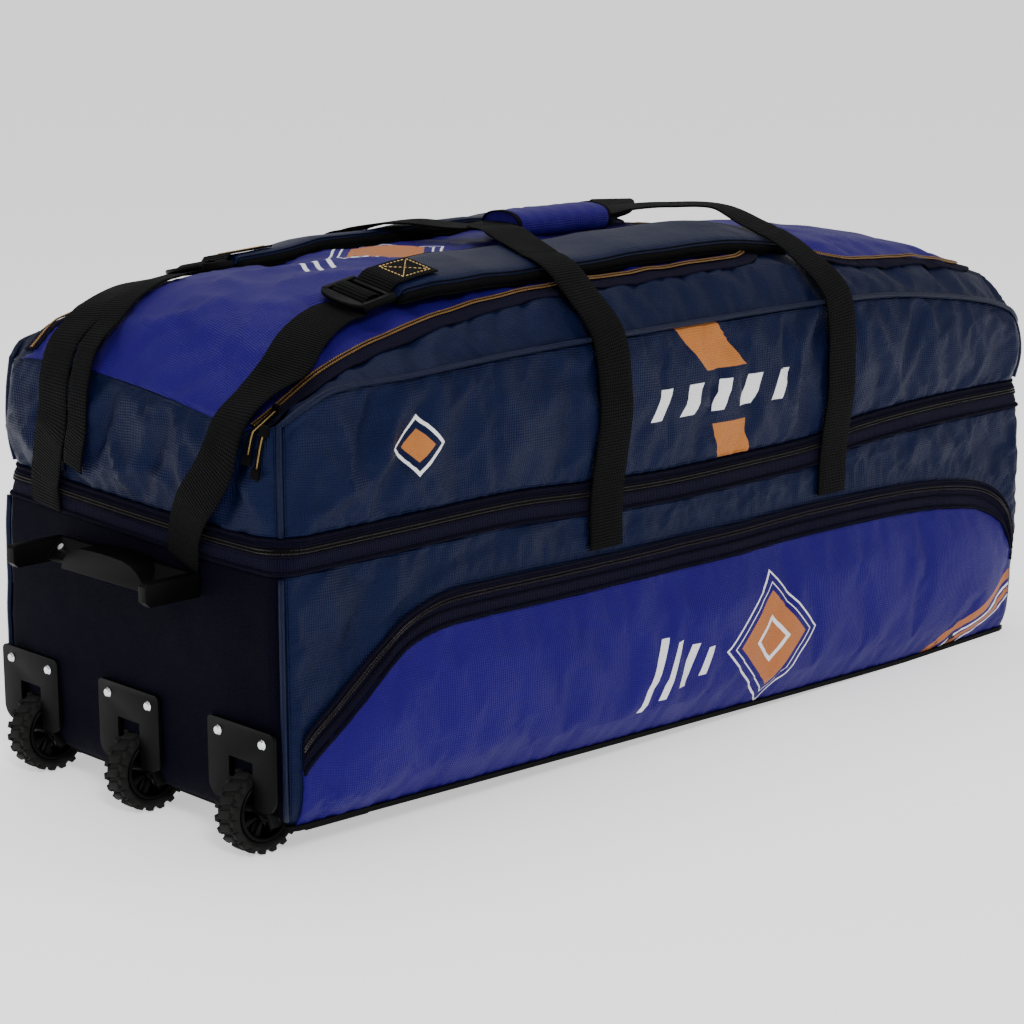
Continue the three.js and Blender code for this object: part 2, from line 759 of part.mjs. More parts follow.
// Leaves out stations that a straight stretch between their neighbours replaces.
function thinStations(stations) {
  const kept = [stations[0]];
  let from = 0;
  for (let to = 2; to < stations.length; to += 1) {
    const [start, end] = [stations[from], stations[to]];
    const line = new THREE.Line3(start.at, end.at);
    const nearest = new THREE.Vector3();
    const strays = stations.slice(from + 1, to).some(({ at, up }) => {
      line.closestPointToPoint(at, true, nearest);
      return nearest.distanceTo(at) > THINNING || up.angleTo(start.up) > THINNING;
    });
    if (strays || end.up.angleTo(start.up) > THINNING) {
      from = to - 1;
      kept.push(stations[from]);
    }
  }
  kept.push(stations[stations.length - 1]);
  return kept;
}

// Sweeps a section of [across, up] points along stations, with flat ends.
function sweep(stations, section) {
  const count = section.length;
  const positions = [];
  for (const { at, up, side } of stations) {
    for (const [across, rise] of section) {
      const point = at.clone().addScaledVector(side, across).addScaledVector(up, rise);
      positions.push(point.x, point.y, point.z);
    }
  }
  const indices = [];
  for (let i = 0; i < stations.length - 1; i += 1) {
    for (let k = 0; k < count; k += 1) {
      const a = i * count + k;
      const b = i * count + (k + 1) % count;
      indices.push(a, b, b + count, a, b + count, a + count);
    }
  }
  const last = (stations.length - 1) * count;
  for (const [a, b, c] of THREE.ShapeUtils.triangulateShape(
    section.map(([across, rise]) => new THREE.Vector2(across, rise)), [],
  )) {
    indices.push(a, c, b, last + a, last + b, last + c);
  }
  const geometry = new THREE.BufferGeometry();
  geometry.setAttribute('position', new THREE.Float32BufferAttribute(positions, 3));
  geometry.setIndex(indices);
  geometry.computeVertexNormals();
  return geometry;
}

function flatSection(width, thickness) {
  return [[-width / 2, 0], [width / 2, 0], [width / 2, thickness], [-width / 2, thickness]];
}

function roundSection(width, thickness, sides) {
  return Array.from({ length: sides }, (_, i) => {
    const angle = (2 * Math.PI * (i + 0.5)) / sides;
    const across = Math.sign(Math.cos(angle)) * Math.abs(Math.cos(angle)) ** 0.7;
    const rise = Math.sign(Math.sin(angle)) * Math.abs(Math.sin(angle)) ** 0.7;
    return [across * width / 2, thickness / 2 + rise * thickness / 2];
  });
}

function vector(x, y, z) {
  return new THREE.Vector3(x, y, z);
}

function row(x, y, z, upX, upY, upZ, lift = 0, least = -SHOULDER) {
  return { at: vector(x, y, z), up: vector(upX, upY, upZ).normalize(), lift, least };
}

// Places a route point on the top at a plan position.
function topRow(x, y, lift = 0) {
  return row(x, y, crownHeight(x, y), 0, y / 500, 1, lift);
}

function pieces(...names) {
  return names.map((name) => bag.getObjectByName(name));
}

// Gold zips round the lids, laid over the slits between lid and top.
function lidLine(lid) {
  const reach = LID_HALF_WIDTH;
  const { to, corner } = lid;
  const from = Math.max(lid.from, -HALF_LENGTH + ZIP_END);
  const closed = lid.from > -HALF_LENGTH;
  const path = new THREE.Path();
  path.moveTo(from + (closed ? corner : 0), -reach);
  path.absarc(to - corner, -reach + corner, corner, -Math.PI / 2, 0);
  path.absarc(to - corner, reach - corner, corner, 0, Math.PI / 2);
  path.lineTo(from + (closed ? corner : 0), reach);
  if (closed) {
    path.absarc(from + corner, reach - corner, corner, Math.PI / 2, Math.PI);
    path.absarc(from + corner, -reach + corner, corner, Math.PI, Math.PI * 1.5);
  }
  return path.getSpacedPoints(Math.round(path.getLength() / ZIP_STEP));
}

function addLidZips() {
  const ground = pieces('top_panel', 'main_lid', 'end_lid');
  for (const lid of LIDS) {
    const rows = lidLine(lid).map((point) => {
      const down = Math.max(0, (-HALF_LENGTH + SHOULDER - point.x) / SHOULDER);
      const z = crownHeight(point.x, point.y) - SHOULDER * (1 - Math.sqrt(1 - Math.min(1, down) ** 2));
      return row(point.x, point.y, z, -1.6 * down, 0, 1, SHOULDER_LIFT * down);
    });
    const isRing = lid.from > -HALF_LENGTH;
    const trimmed = isRing ? rows.slice(0, -1) : rows;
    const stations = seatRoute(trimmed, LID_ZIP_WIDTH, ground, SEAT_CLEARANCE);
    addPiece(`${lid.name}_zip`, sweep(stations, flatSection(LID_ZIP_WIDTH, COIL_HEIGHT)), goldCoil);
  }
}

// Pocket on the front of the lower compartment

function pocketLine(around) {
  const along = planAt(around).x / HALF_LENGTH;
  return POCKET_HEIGHT * readRows(POCKET_ROWS, 'along', along, 'height');
}

// A sheet laid outside the lower front wall; stand gives how far its inner face stands off.
function coverSheet(rows, low, high, stand) {
  const outer = [];
  const inner = [];
  for (const stop of sideStops(0)) {
    const around = Math.min(1 - POCKET_INSET, Math.max(POCKET_INSET, stop));
    const line = Array.from({ length: rows + 1 }, (_, j) => {
      const face = wallPoint(around, mix(low(around), high(around), j / rows));
      return { ...face, off: stand(stop, j / rows) };
    });
    inner.push(line.map((face) => face.at.clone().addScaledVector(face.out, face.off)));
    outer.push(line.map((face) => face.at.clone().addScaledVector(face.out, face.off + CLOTH)));
  }
  return closedSheet(outer, inner);
}

function addPocket() {
  const bandFoot = (around) => pocketLine(around) - POCKET_BAND_BELOW;
  const bandTop = (around) => pocketLine(around) + POCKET_BAND_ABOVE;
  const panelTop = (around) => bandFoot(around) - 2 * GAP;
  const puff = (u, v) => {
    const ends = smooth(Math.min(u, 1 - u) / 0.09);
    const edges = smooth(v / 0.2) * smooth((1 - v) / 0.2);
    return SEAT_CLEARANCE + POCKET_DEPTH * ends * edges;
  };
  addPiece('pocket_panel', coverSheet(5, floorLine, panelTop, puff), royalCloth);
  addPiece('pocket_zip', coverSheet(1, bandFoot, bandTop, () => SEAT_CLEARANCE), indigoTape);
}

// Piping

function pipingStation(face, tangent) {
  const up = face.out.clone().addScaledVector(tangent, -face.out.dot(tangent)).normalize();
  const stand = PIPING_RADIUS + SEAT_CLEARANCE;
  return {
    at: face.at.clone().addScaledVector(face.out, stand),
    up,
    side: new THREE.Vector3().crossVectors(up, tangent),
  };
}

function addPipingAlong(name, faces) {
  const stations = faces.map((face, i) => {
    const before = faces[Math.max(0, i - 1)].at;
    const after = faces[Math.min(faces.length - 1, i + 1)].at;
    return pipingStation(face, after.clone().sub(before).normalize());
  });
  const section = Array.from({ length: PIPING_SIDES }, (_, k) => {
    const angle = (2 * Math.PI * k) / PIPING_SIDES;
    return [PIPING_RADIUS * Math.cos(angle), PIPING_RADIUS * Math.sin(angle)];
  });
  addPiece(name, sweep(stations, section), navyCloth);
}

// Up a corner, along the top edge and down the next corner.
function addUpperPiping(name, side) {
  const rise = (around, share) => wallPoint(around, mix(bandHigh(around) + 2, edgeHeight(around), share));
  const ends = [0, 0.33, 0.67];
  const edge = sideStops(side).map((share) => {
    const around = Math.min(side + share, side + 0.99999);
    return wallPoint(around, edgeHeight(around));
  });
  const up = ends.map((share) => rise(side, share));
  const down = ends.map((share) => rise(side + 0.99999, share)).reverse();
  addPipingAlong(name, [...up, ...edge, ...down]);
}

function addCornerPiping(name, around) {
  const rows = [0, 0.25, 0.5, 0.75, 1];
  const low = floorLine(around) + BASE_ROUND;
  addPipingAlong(name, rows.map((share) => wallPoint(around, mix(low, bandLow(around) - 2, share))));
}

// Straps and their fittings

const FRONT_GROUND = ['upper_front', 'lower_front', 'mid_band', 'mid_zip', 'piping_front'];
const BACK_GROUND = ['upper_back', 'lower_back', 'mid_band', 'mid_zip', 'piping_back'];
const TOP_GROUND = ['top_panel', 'main_lid', 'end_lid', 'main_zip', 'end_zip'];
const END_GROUND = ['upper_wheel_end', 'lower_wheel_end', 'mid_band', 'mid_zip'];

function seatedBand(name, route, width, thickness, ground, look) {
  const stations = seatRoute(route, width, ground, SEAT_CLEARANCE);
  return addPiece(name, sweep(stations, flatSection(width, thickness)), look);
}

// The padded shoulder straps lie along the top; lift is how far they arch off it.
function addPad(name, across) {
  const route = [
    topRow(PAD_START, across, 0),
    topRow(mix(PAD_START, PAD_END, 0.2), across, 6),
    topRow(mix(PAD_START, PAD_END, 0.5), across, 5),
    topRow(mix(PAD_START, PAD_END, 0.75), across, 2),
    topRow(PAD_END, across, 0),
  ];
  const stations = seatRoute(route, PAD_WIDTH, pieces(...TOP_GROUND), SEAT_CLEARANCE);
  addPiece(name, sweep(stations, roundSection(PAD_WIDTH, PAD_THICKNESS, 10)), navyCloth);
}

function addPatch(name, padName, across) {
  const route = [topRow(PAD_START + 3, across), topRow(PAD_START + 3 + PATCH_LENGTH, across)];
  seatedBand(name, route, WEBBING, WEBBING_THICKNESS, pieces(padName), blackWebbing);
}

// A ladder-lock buckle: a frame with two slots, lying between the pad and the lower webbing.
function addBuckle(name, across) {
  const shape = new THREE.Shape();
  const [half, reach, round] = [BUCKLE_LENGTH / 2, BUCKLE_WIDTH / 2, 8];
  shape.moveTo(-half, -reach);
  shape.absarc(half - round, -reach + round, round, -Math.PI / 2, 0);
  shape.absarc(half - round, reach - round, round, 0, Math.PI / 2);
  shape.lineTo(-half, reach);
  shape.closePath();
  const options = { depth: BUCKLE_THICKNESS, bevelEnabled: false, curveSegments: 4 };
  let frame = solidOf(new THREE.ExtrudeGeometry(shape, options));
  for (const centre of [-BUCKLE_LENGTH / 4, BUCKLE_LENGTH / 5]) {
    const [wide, long] = [BUCKLE_SLOT / 2, WEBBING / 2 + 1];
    const slot = box(centre - wide, centre + wide, -long, long, -1, BUCKLE_THICKNESS + 1);
    frame = frame.subtract(solidOf(slot));
  }
  const geometry = geometryOf(frame);
  const middle = PAD_START - 3 - BUCKLE_LENGTH / 2;
  const route = [topRow(middle + half, across), topRow(middle - half, across)];
  const stations = seatRoute(route, BUCKLE_WIDTH, pieces(...TOP_GROUND), GAP);
  const first = stations[0].at;
  const last = stations[stations.length - 1].at;
  const forward = last.clone().sub(first).normalize();
  const centre = stations.reduce((sum, { at }) => sum.add(at), vector(0, 0, 0));
  centre.divideScalar(stations.length);
  const spare = Math.max(...stations.map(({ at }) => at.z - centre.z)) / 2;
  const up = stations[1].up.clone().addScaledVector(forward, -stations[1].up.dot(forward)).normalize();
  const side = new THREE.Vector3().crossVectors(up, forward);
  centre.addScaledVector(up, spare);
  geometry.applyMatrix4(new THREE.Matrix4().makeBasis(forward, side, up).setPosition(centre));
  addPiece(name, geometry, blackPlastic);
}

function endRow(y, z, lift = 0) {
  return row(-HALF_LENGTH, y, z, -1, 0, 0, lift);
}

// Webbing from the top over the wheel end's shoulder: side is -1 on the near half of the bag,
// shoulder is where it crosses the edge, and top lists its [x, y] places before that.
function addEndWeb(name, width, side, shoulder, top, rows) {
  const ground = pieces(...TOP_GROUND, ...END_GROUND);
  const route = [
    ...top.map(([x, y]) => topRow(x, y)),
    row(-HALF_LENGTH + SHOULDER * 0.35, shoulder, EDGE_HEIGHT * 0.99, -0.7, 0, 0.7, SHOULDER_LIFT),
    ...rows.map(({ inward, drop }, i) => (
      endRow(side * (HALF_WIDTH - inward), EDGE_HEIGHT - drop, i === 0 ? SHOULDER_LIFT : 0)
    )),
  ];
  seatedBand(name, route, width, WEBBING_THICKNESS, ground, blackWebbing);
}

function addShoulderWebs() {
  const start = PAD_START - BUCKLE_LENGTH - 9;
  const turn = -HALF_LENGTH + WEB_TURN;
  const nearTurn = -HALF_WIDTH + 50;
  const farTurn = HALF_WIDTH - 88;
  const tailTurn = HALF_WIDTH - 124;
  addEndWeb('shoulder_web_near', WEBBING, -1, nearTurn - 2, [
    [start, -PAD_ACROSS - 6], [start - 40, -PAD_ACROSS - 18], [turn, nearTurn],
  ], NEAR_WEB_ROWS);
  addEndWeb('shoulder_web_far', WEBBING, 1, farTurn - 8, [
    [start, PAD_ACROSS + 2], [start - 40, PAD_ACROSS], [turn, farTurn],
  ], FAR_WEB_ROWS);
  addEndWeb('strap_tail_far', TAIL_WIDTH, 1, tailTurn - 6, [
    [start - 22, PAD_ACROSS - 36], [start - 50, PAD_ACROSS - 40], [turn, tailTurn],
  ], TAIL_ROWS);
}

// A haul strap: up one wall, over the shoulder, through the grip wrap and down again.
function haulRoute(side, level) {
  const wall = HALF_WIDTH - 3;
  const wrapAt = WRAP_ACROSS;
  const leg = (x, z, lift) => row(x, side * wall, z, 0, side, 0, lift);
  const free = (x, y, z) => row(x, y, z + level, 0, 0, 1, 0, 0);
  const kneeHeight = EDGE_HEIGHT * 1.05;
  const lifts = [SHOULDER_LIFT, 0, 0, 0];
  const heights = [EDGE_HEIGHT - 12, EDGE_HEIGHT - 56, EDGE_HEIGHT - 96, HAUL_FOOT];
  const down = (x) => heights.map((z, i) => leg(x, z, lifts[i]));
  return [
    ...down(HAUL_LEFT).reverse(),
    row(HAUL_LEFT - 6, side * (HALF_WIDTH - 12), kneeHeight, 0, side * 0.7, 0.7, SHOULDER_LIFT),
    topRow(HAUL_LEFT - 9, side * (LID_HALF_WIDTH - 2), 0.4),
    topRow(HAUL_LEFT - 7, side * (PAD_ACROSS + 8)),
    free(HAUL_LEFT + 10, side * 56, WRAP_HEIGHT - 1),
    free(WRAP_START - 24, side * 14 + wrapAt, WRAP_HEIGHT + 1),
    free(WRAP_START - 5, side + wrapAt, WRAP_HEIGHT),
    free(WRAP_START, wrapAt, WRAP_HEIGHT),
    free((WRAP_START + WRAP_END) / 2, wrapAt, WRAP_HEIGHT),
    free(WRAP_END, wrapAt, WRAP_HEIGHT),
    free(WRAP_END + 5, side + wrapAt, WRAP_HEIGHT),
    free(WRAP_END + 28, side * 8 + wrapAt, WRAP_HEIGHT + 3 + level / 2),
    free(WRAP_END + 62, side * 32, WRAP_HEIGHT + 5 + level / 2),
    free(HAUL_RIGHT - 28, side * 66, WRAP_HEIGHT + 2),
    topRow(HAUL_RIGHT - 18, side * (PAD_ACROSS + 8)),
    topRow(HAUL_RIGHT - 12, side * (LID_HALF_WIDTH - 2)),
    row(HAUL_RIGHT - 6, side * (HALF_WIDTH - 12), kneeHeight, 0, side * 0.7, 0.7, SHOULDER_LIFT),
    ...down(HAUL_RIGHT),
  ];
}

function addHaulStraps() {
  const near = haulRoute(-1, GAP / 2 + SLOT_SLACK);
  const far = haulRoute(1, -GAP / 2 - SLOT_SLACK - WEBBING_THICKNESS);
  const nearGround = pieces(...FRONT_GROUND, ...TOP_GROUND, 'shoulder_pad_near');
  const farGround = pieces(...BACK_GROUND, ...TOP_GROUND, 'shoulder_pad_far');
  seatedBand('haul_strap_near', near, WEBBING, WEBBING_THICKNESS, nearGround, blackWebbing);
  seatedBand('haul_strap_far', far, WEBBING, WEBBING_THICKNESS, farGround, blackWebbing);
}

// The padded wrap that holds both haul straps, open along the middle for them.
function addGripWrap() {
  const length = WRAP_END - WRAP_START - 2 * WRAP_MARGIN;
  const stations = Array.from({ length: 3 }, (_, i) => ({
    at: vector(WRAP_START + WRAP_MARGIN + (length * i) / 2, WRAP_ACROSS, WRAP_HEIGHT - WRAP_THICKNESS / 2),
    up: vector(0, 0, 1),
    side: vector(0, 1, 0),
  }));
  const body = solidOf(sweep(stations, roundSection(WRAP_WIDTH, WRAP_THICKNESS, 18)));
  const reach = WEBBING / 2 + 2 * GAP;
  const slot = box(
    WRAP_START, WRAP_END, WRAP_ACROSS - reach, WRAP_ACROSS + reach,
    WRAP_HEIGHT - WEBBING_THICKNESS - 2 * GAP - SLOT_SLACK,
    WRAP_HEIGHT + WEBBING_THICKNESS + 2 * GAP + SLOT_SLACK,
  );
  addPiece('grip_wrap', geometryOf(body.subtract(solidOf(slot))), royalCloth);
}

// Two zip pulls hang on the corner beside the near end of the main zip.
function addPulls() {
  const ground = pieces(...TOP_GROUND, ...END_GROUND);
  const corner = -HALF_WIDTH + UPPER_CORNER;
  const starts = [
    { y: corner - 5, z: EDGE_HEIGHT - 26 },
    { y: corner - 16, z: EDGE_HEIGHT - 34 },
  ];
  starts.forEach(({ y, z }, i) => {
    const route = [
      row(-HALF_LENGTH + 3, y, z, -1, -0.4, 0),
      row(-HALF_LENGTH + 2, y + 3, z - PULL_LENGTH, -1, -0.4, 0),
    ];
    const name = i === 0 ? 'main_zip_pull' : 'main_zip_pull_spare';
    seatedBand(name, route, PULL_WIDTH, PULL_THICKNESS, ground, darkSteel);
  });
}

// Wheels and the moulded wheel end

function wheelRow() {
  return [
    { name: 'near', y: -WHEEL_SPACING },
    { name: 'mid', y: 0 },
    { name: 'far', y: WHEEL_SPACING },
  ];
}

// The outermost place of the wheel end's wall behind a flat fitting.
function endFace(yFrom, yTo, zFrom, zTo) {
  let face = 0;
  for (let share = 0; share <= 1; share += 0.02) {
    for (const z of [zFrom, (zFrom + zTo) / 2, zTo]) {
      const { at } = wallPoint(3 + share * 0.999, z);
      if (at.y >= yFrom && at.y <= yTo) {
        face = Math.min(face, at.x);
      }
    }
  }
  return face - GAP;
}

function bracketFace(y) {
  const half = BRACKET_WIDTH / 2;
  return endFace(y - half, y + half, BASE_LIFT, BRACKET_TOP);
}

function wheelCentre(y) {
  return vector(bracketFace(y) + WHEEL_SETBACK, y, WHEEL_RADIUS);
}

function housingBack(y) {
  return wheelCentre(y).x + WHEEL_RADIUS + HOUSING_CLEARANCE + BRACKET_PLATE;
}

function housingTop() {
  return 2 * WHEEL_RADIUS + HOUSING_CLEARANCE + BRACKET_PLATE;
}

// Turns an extrusion of a [y, z] shape so that its depth runs along +X.
function standAcross(shape, depth) {
  const geometry = new THREE.ExtrudeGeometry(shape, { depth, bevelEnabled: false, curveSegments: 4 });
  geometry.applyMatrix4(new THREE.Matrix4().makeBasis(vector(0, 1, 0), vector(0, 0, 1), vector(1, 0, 0)));
  return geometry;
}

// Turns an extrusion of an [x, z] shape so that its depth runs along -Y.
function standAlong(shape, depth, curveSegments = 4) {
  const geometry = new THREE.ExtrudeGeometry(shape, { depth, bevelEnabled: false, curveSegments });
  geometry.rotateX(Math.PI / 2);
  return geometry;
}

// Half the width of the plate's slot for the wheel.
function slotHalf() {
  return WHEEL_WIDTH / 2 + 2;
}

// The bracket's front plate, with rounded lower corners and a slot for the wheel.
function plateShape() {
  const half = BRACKET_WIDTH / 2;
  const [slot, foot] = [slotHalf(), PLATE_FOOT];
  const [low, high] = [PLATE_FOOT_ROUND, PLATE_ROUND];
  const shape = new THREE.Shape();
  shape.moveTo(-half, foot + low);
  shape.absarc(-half + low, foot + low, low, Math.PI, Math.PI * 1.5);
  shape.lineTo(-slot - SLOT_FLARE, foot);
  shape.quadraticCurveTo(-slot, foot, -slot, foot + SLOT_FLARE);
  shape.lineTo(-slot, SLOT_TOP);
  shape.lineTo(slot, SLOT_TOP);
  shape.lineTo(slot, foot + SLOT_FLARE);
  shape.quadraticCurveTo(slot, foot, slot + SLOT_FLARE, foot);
  shape.absarc(half - low, foot + low, low, -Math.PI / 2, 0);
  shape.absarc(half - high, BRACKET_TOP - high, high, 0, Math.PI / 2);
  shape.absarc(-half + high, BRACKET_TOP - high, high, Math.PI / 2, Math.PI);
  shape.closePath();
  return shape;
}

// The height of the foot's underside below the base board.
function footHeight(x) {
  return baseHeight(x) - GAP - BRACKET_PLATE;
}

// The side view of the housing: its cheeks end just below the axle and reach the foot behind it.
function housingShape(face, y) {
  const back = housingBack(y);
  const top = housingTop();
  const axle = wheelCentre(y).x;
  const heel = axle + FOOT_START;
  const shape = new THREE.Shape();
  shape.moveTo(face, PLATE_FOOT);
  shape.lineTo(axle - CHEEK_REACH, CHEEK_FOOT);
  shape.lineTo(axle + CHEEK_REACH, CHEEK_FOOT);
  shape.lineTo(heel, footHeight(heel));
  shape.lineTo(back, footHeight(back));
  shape.absarc(back - HOUSING_ROUND, top - HOUSING_ROUND, HOUSING_ROUND, 0, Math.PI / 2);
  shape.lineTo(face, top);
  shape.closePath();
  return shape;
}

function addBracket(name, y) {
  const face = bracketFace(y);
  const plate = standAcross(plateShape(), BRACKET_PLATE);
  plate.translate(face - BRACKET_PLATE, y, 0);
  const shell = standAlong(housingShape(face - BRACKET_PLATE / 2, y), HOUSING_WIDTH);
  shell.translate(0, y + HOUSING_WIDTH / 2, 0);
  const roomWidth = HOUSING_WIDTH - 2 * BRACKET_PLATE;
  const room = box(
    face - 0.01, housingBack(y) - BRACKET_PLATE, y - roomWidth / 2, y + roomWidth / 2,
    -1, housingTop() - BRACKET_PLATE,
  );
  const mouth = standAcross(plateMouth(), 4 * BRACKET_PLATE);
  mouth.translate(face - 2 * BRACKET_PLATE, y, 0);
  const bore = new THREE.CylinderGeometry(
    AXLE_RADIUS + BORE_CLEARANCE, AXLE_RADIUS + BORE_CLEARANCE, 2 * HOUSING_WIDTH, 10,
  );
  bore.translate(wheelCentre(y).x, y, WHEEL_RADIUS);
  const solid = solidOf(plate)
    .add(solidOf(shell))
    .add(solidOf(bracketFoot(face, y)))
    .subtract(solidOf(room))
    .subtract(solidOf(mouth))
    .subtract(solidOf(bore));
  addPiece(`wheel_bracket_${name}`, geometryOf(solid), blackPlastic);
  for (const side of [-1, 1]) {
    const rivet = new THREE.CylinderGeometry(RIVET_RADIUS * 0.7, RIVET_RADIUS, RIVET_RISE, 10);
    rivet.rotateZ(Math.PI / 2);
    rivet.translate(face - BRACKET_PLATE - GAP - RIVET_RISE / 2, y + side * RIVET_SPACING / 2, RIVET_HEIGHT);
    addPiece(`rivet_${name}_${side < 0 ? 'a' : 'b'}`, rivet, chrome);
  }
}

// The plate's opening alone, to keep the housing's front out of it.
function plateMouth() {
  const slot = slotHalf();
  const shape = new THREE.Shape();
  shape.moveTo(-slot, CHEEK_FOOT - SLOT_FLARE);
  shape.lineTo(slot, CHEEK_FOOT - SLOT_FLARE);
  shape.lineTo(slot, SLOT_TOP);
  shape.lineTo(-slot, SLOT_TOP);
  shape.closePath();
  return shape;
}

// The bracket's foot runs under the base board, along the ramp.
function bracketFoot(face, y) {
  const shape = new THREE.Shape();
  const from = wheelCentre(y).x + FOOT_START;
  const to = face + BRACKET_FOOT;
  shape.moveTo(from, footHeight(from));
  shape.lineTo(to, footHeight(to));
  shape.lineTo(to, footHeight(to) + BRACKET_PLATE);
  shape.lineTo(from, footHeight(from) + BRACKET_PLATE);
  shape.closePath();
  const geometry = standAlong(shape, FOOT_WIDTH);
  geometry.translate(0, y + FOOT_WIDTH / 2, 0);
  return geometry;
}

// A ring turned about the wheel's axle, which runs along Y.
function turned(inner, outer, width, sides) {
  const half = width / 2;
  const profile = [[inner, -half], [outer, -half], [outer, half], [inner, half], [inner, -half]];
  return new THREE.LatheGeometry(profile.map(([radius, across]) => new THREE.Vector2(radius, across)), sides);
}

// The tyre: a ring with square tread blocks, one of them straight down.
function tyreGeometry() {
  const shape = new THREE.Shape();
  const pitch = (2 * Math.PI) / TREAD_COUNT;
  const groove = WHEEL_RADIUS - TREAD_DEPTH;
  const spot = (radius, angle) => [radius * Math.cos(angle), radius * Math.sin(angle)];
  for (let i = 0; i < TREAD_COUNT; i += 1) {
    const centre = -Math.PI / 2 + i * pitch;
    const corners = [
      spot(groove, centre - pitch * 0.3), spot(WHEEL_RADIUS, centre - pitch * 0.25),
      spot(WHEEL_RADIUS, centre), spot(WHEEL_RADIUS, centre + pitch * 0.25),
      spot(groove, centre + pitch * 0.3),
    ];
    corners.forEach(([x, z], k) => (i + k === 0 ? shape.moveTo(x, z) : shape.lineTo(x, z)));
  }
  const hole = new THREE.Path();
  hole.absarc(0, 0, RIM_RADIUS + GAP, 0, 2 * Math.PI, true);
  shape.holes.push(hole);
  const geometry = standAlong(shape, WHEEL_WIDTH, 8);
  return geometry.translate(0, WHEEL_WIDTH / 2, 0);
}

function hubGeometry() {
  let solid = solidOf(turned(RIM_RADIUS - 4, RIM_RADIUS, WHEEL_WIDTH - 4, 16));
  solid = solid.add(solidOf(turned(AXLE_RADIUS + BORE_CLEARANCE, HUB_RADIUS, WHEEL_WIDTH, 10)));
  for (let i = 0; i < SPOKE_COUNT; i += 1) {
    const spoke = box(HUB_RADIUS - 2, RIM_RADIUS - 3, -WHEEL_WIDTH / 4, WHEEL_WIDTH / 4, -1.5, 1.5);
    spoke.rotateY((2 * Math.PI * (i + 0.5)) / SPOKE_COUNT);
    solid = solid.add(solidOf(spoke));
  }
  return geometryOf(solid);
}

// The axle spans the housing, from one cheek's outer face to the other's.
function axleGeometry() {
  return new THREE.CylinderGeometry(AXLE_RADIUS, AXLE_RADIUS, HOUSING_WIDTH, 10);
}

function addWheels() {
  const parts = [
    ['tyre', tyreGeometry(), tyreRubber],
    ['wheel_hub', hubGeometry(), blackPlastic],
    ['axle', axleGeometry(), darkSteel],
  ];
  for (const { name, y } of wheelRow()) {
    for (const [part, geometry, look] of parts) {
      const mesh = addPiece(`${part}_${name}`, geometry, look);
      mesh.position.copy(wheelCentre(y));
      mesh.updateMatrixWorld();
    }
  }
}

// The moulded stand feet and grip on the wheel end.
function addEndHandle() {
  const foot = HANDLE_TOP - HANDLE_FOOT_HEIGHT;
  const half = HANDLE_WIDTH / 2;
  const face = endFace(-half, half, foot, HANDLE_TOP);
  const wedge = new THREE.Shape();
  wedge.moveTo(face, foot);
  wedge.lineTo(face - HANDLE_SHELF, foot + HANDLE_EDGE / 2);
  wedge.lineTo(face - HANDLE_SHELF, foot + SHELF_LIP);
  wedge.lineTo(face - HANDLE_EDGE, HANDLE_TOP);
  wedge.lineTo(face, HANDLE_TOP);
  wedge.closePath();
  const shelf = standAlong(wedge, HANDLE_WIDTH);
  shelf.translate(0, half, 0);
  let solid = solidOf(shelf);
  for (const side of [-1, 1]) {
    const leg = new THREE.Shape();
    leg.moveTo(face, foot);
    leg.lineTo(face - HANDLE_REACH + HANDLE_EDGE, foot);
    leg.lineTo(face - HANDLE_REACH, foot + HANDLE_EDGE);
    leg.lineTo(face - HANDLE_REACH, HANDLE_TOP - HANDLE_EDGE / 2);
    leg.lineTo(face - HANDLE_REACH + HANDLE_EDGE / 2, HANDLE_TOP);
    leg.lineTo(face, HANDLE_TOP);
    leg.closePath();
    const plate = standAlong(leg, HANDLE_FOOT_THICKNESS);
    const edge = side < 0 ? -half + HANDLE_FOOT_THICKNESS : half;
    plate.translate(0, edge, 0);
    solid = solid.add(solidOf(plate));
  }
  const grip = new THREE.Shape();
  grip.moveTo(-GRIP_WIDTH / 2, foot + 1);
  grip.lineTo(GRIP_WIDTH / 2, foot + 1);
  const bulge = GRIP_WIDTH / 2 - HANDLE_EDGE;
  grip.quadraticCurveTo(bulge, HANDLE_TOP, GRIP_WIDTH / 4, HANDLE_TOP + GRIP_CROWN);
  grip.quadraticCurveTo(0, HANDLE_TOP + GRIP_CROWN + 2, -GRIP_WIDTH / 4, HANDLE_TOP + GRIP_CROWN);
  grip.quadraticCurveTo(-bulge, HANDLE_TOP, -GRIP_WIDTH / 2, foot + 1);
  const pad = standAcross(grip, GRIP_REACH);
  pad.translate(face - GRIP_REACH, 0, 0);
  solid = solid.add(solidOf(pad));
  addPiece('end_handle', geometryOf(solid), blackPlastic);
  const screw = new THREE.CylinderGeometry(SCREW_RADIUS, SCREW_RADIUS, SCREW_LENGTH, 12);
  const slope = Math.atan2(HANDLE_FOOT_HEIGHT - SHELF_LIP, HANDLE_SHELF - HANDLE_EDGE);
  screw.rotateX(Math.PI / 2);
  screw.rotateY(-slope);
  const middle = vector(
    face - (HANDLE_SHELF + HANDLE_EDGE) / 2, SCREW_ACROSS, (foot + SHELF_LIP + HANDLE_TOP) / 2,
  );
  const away = vector(-Math.sin(slope), 0, Math.cos(slope));
  screw.translate(...middle.addScaledVector(away, SCREW_LENGTH / 2 + GAP).toArray());
  addPiece('end_handle_screw', screw, chrome);
}

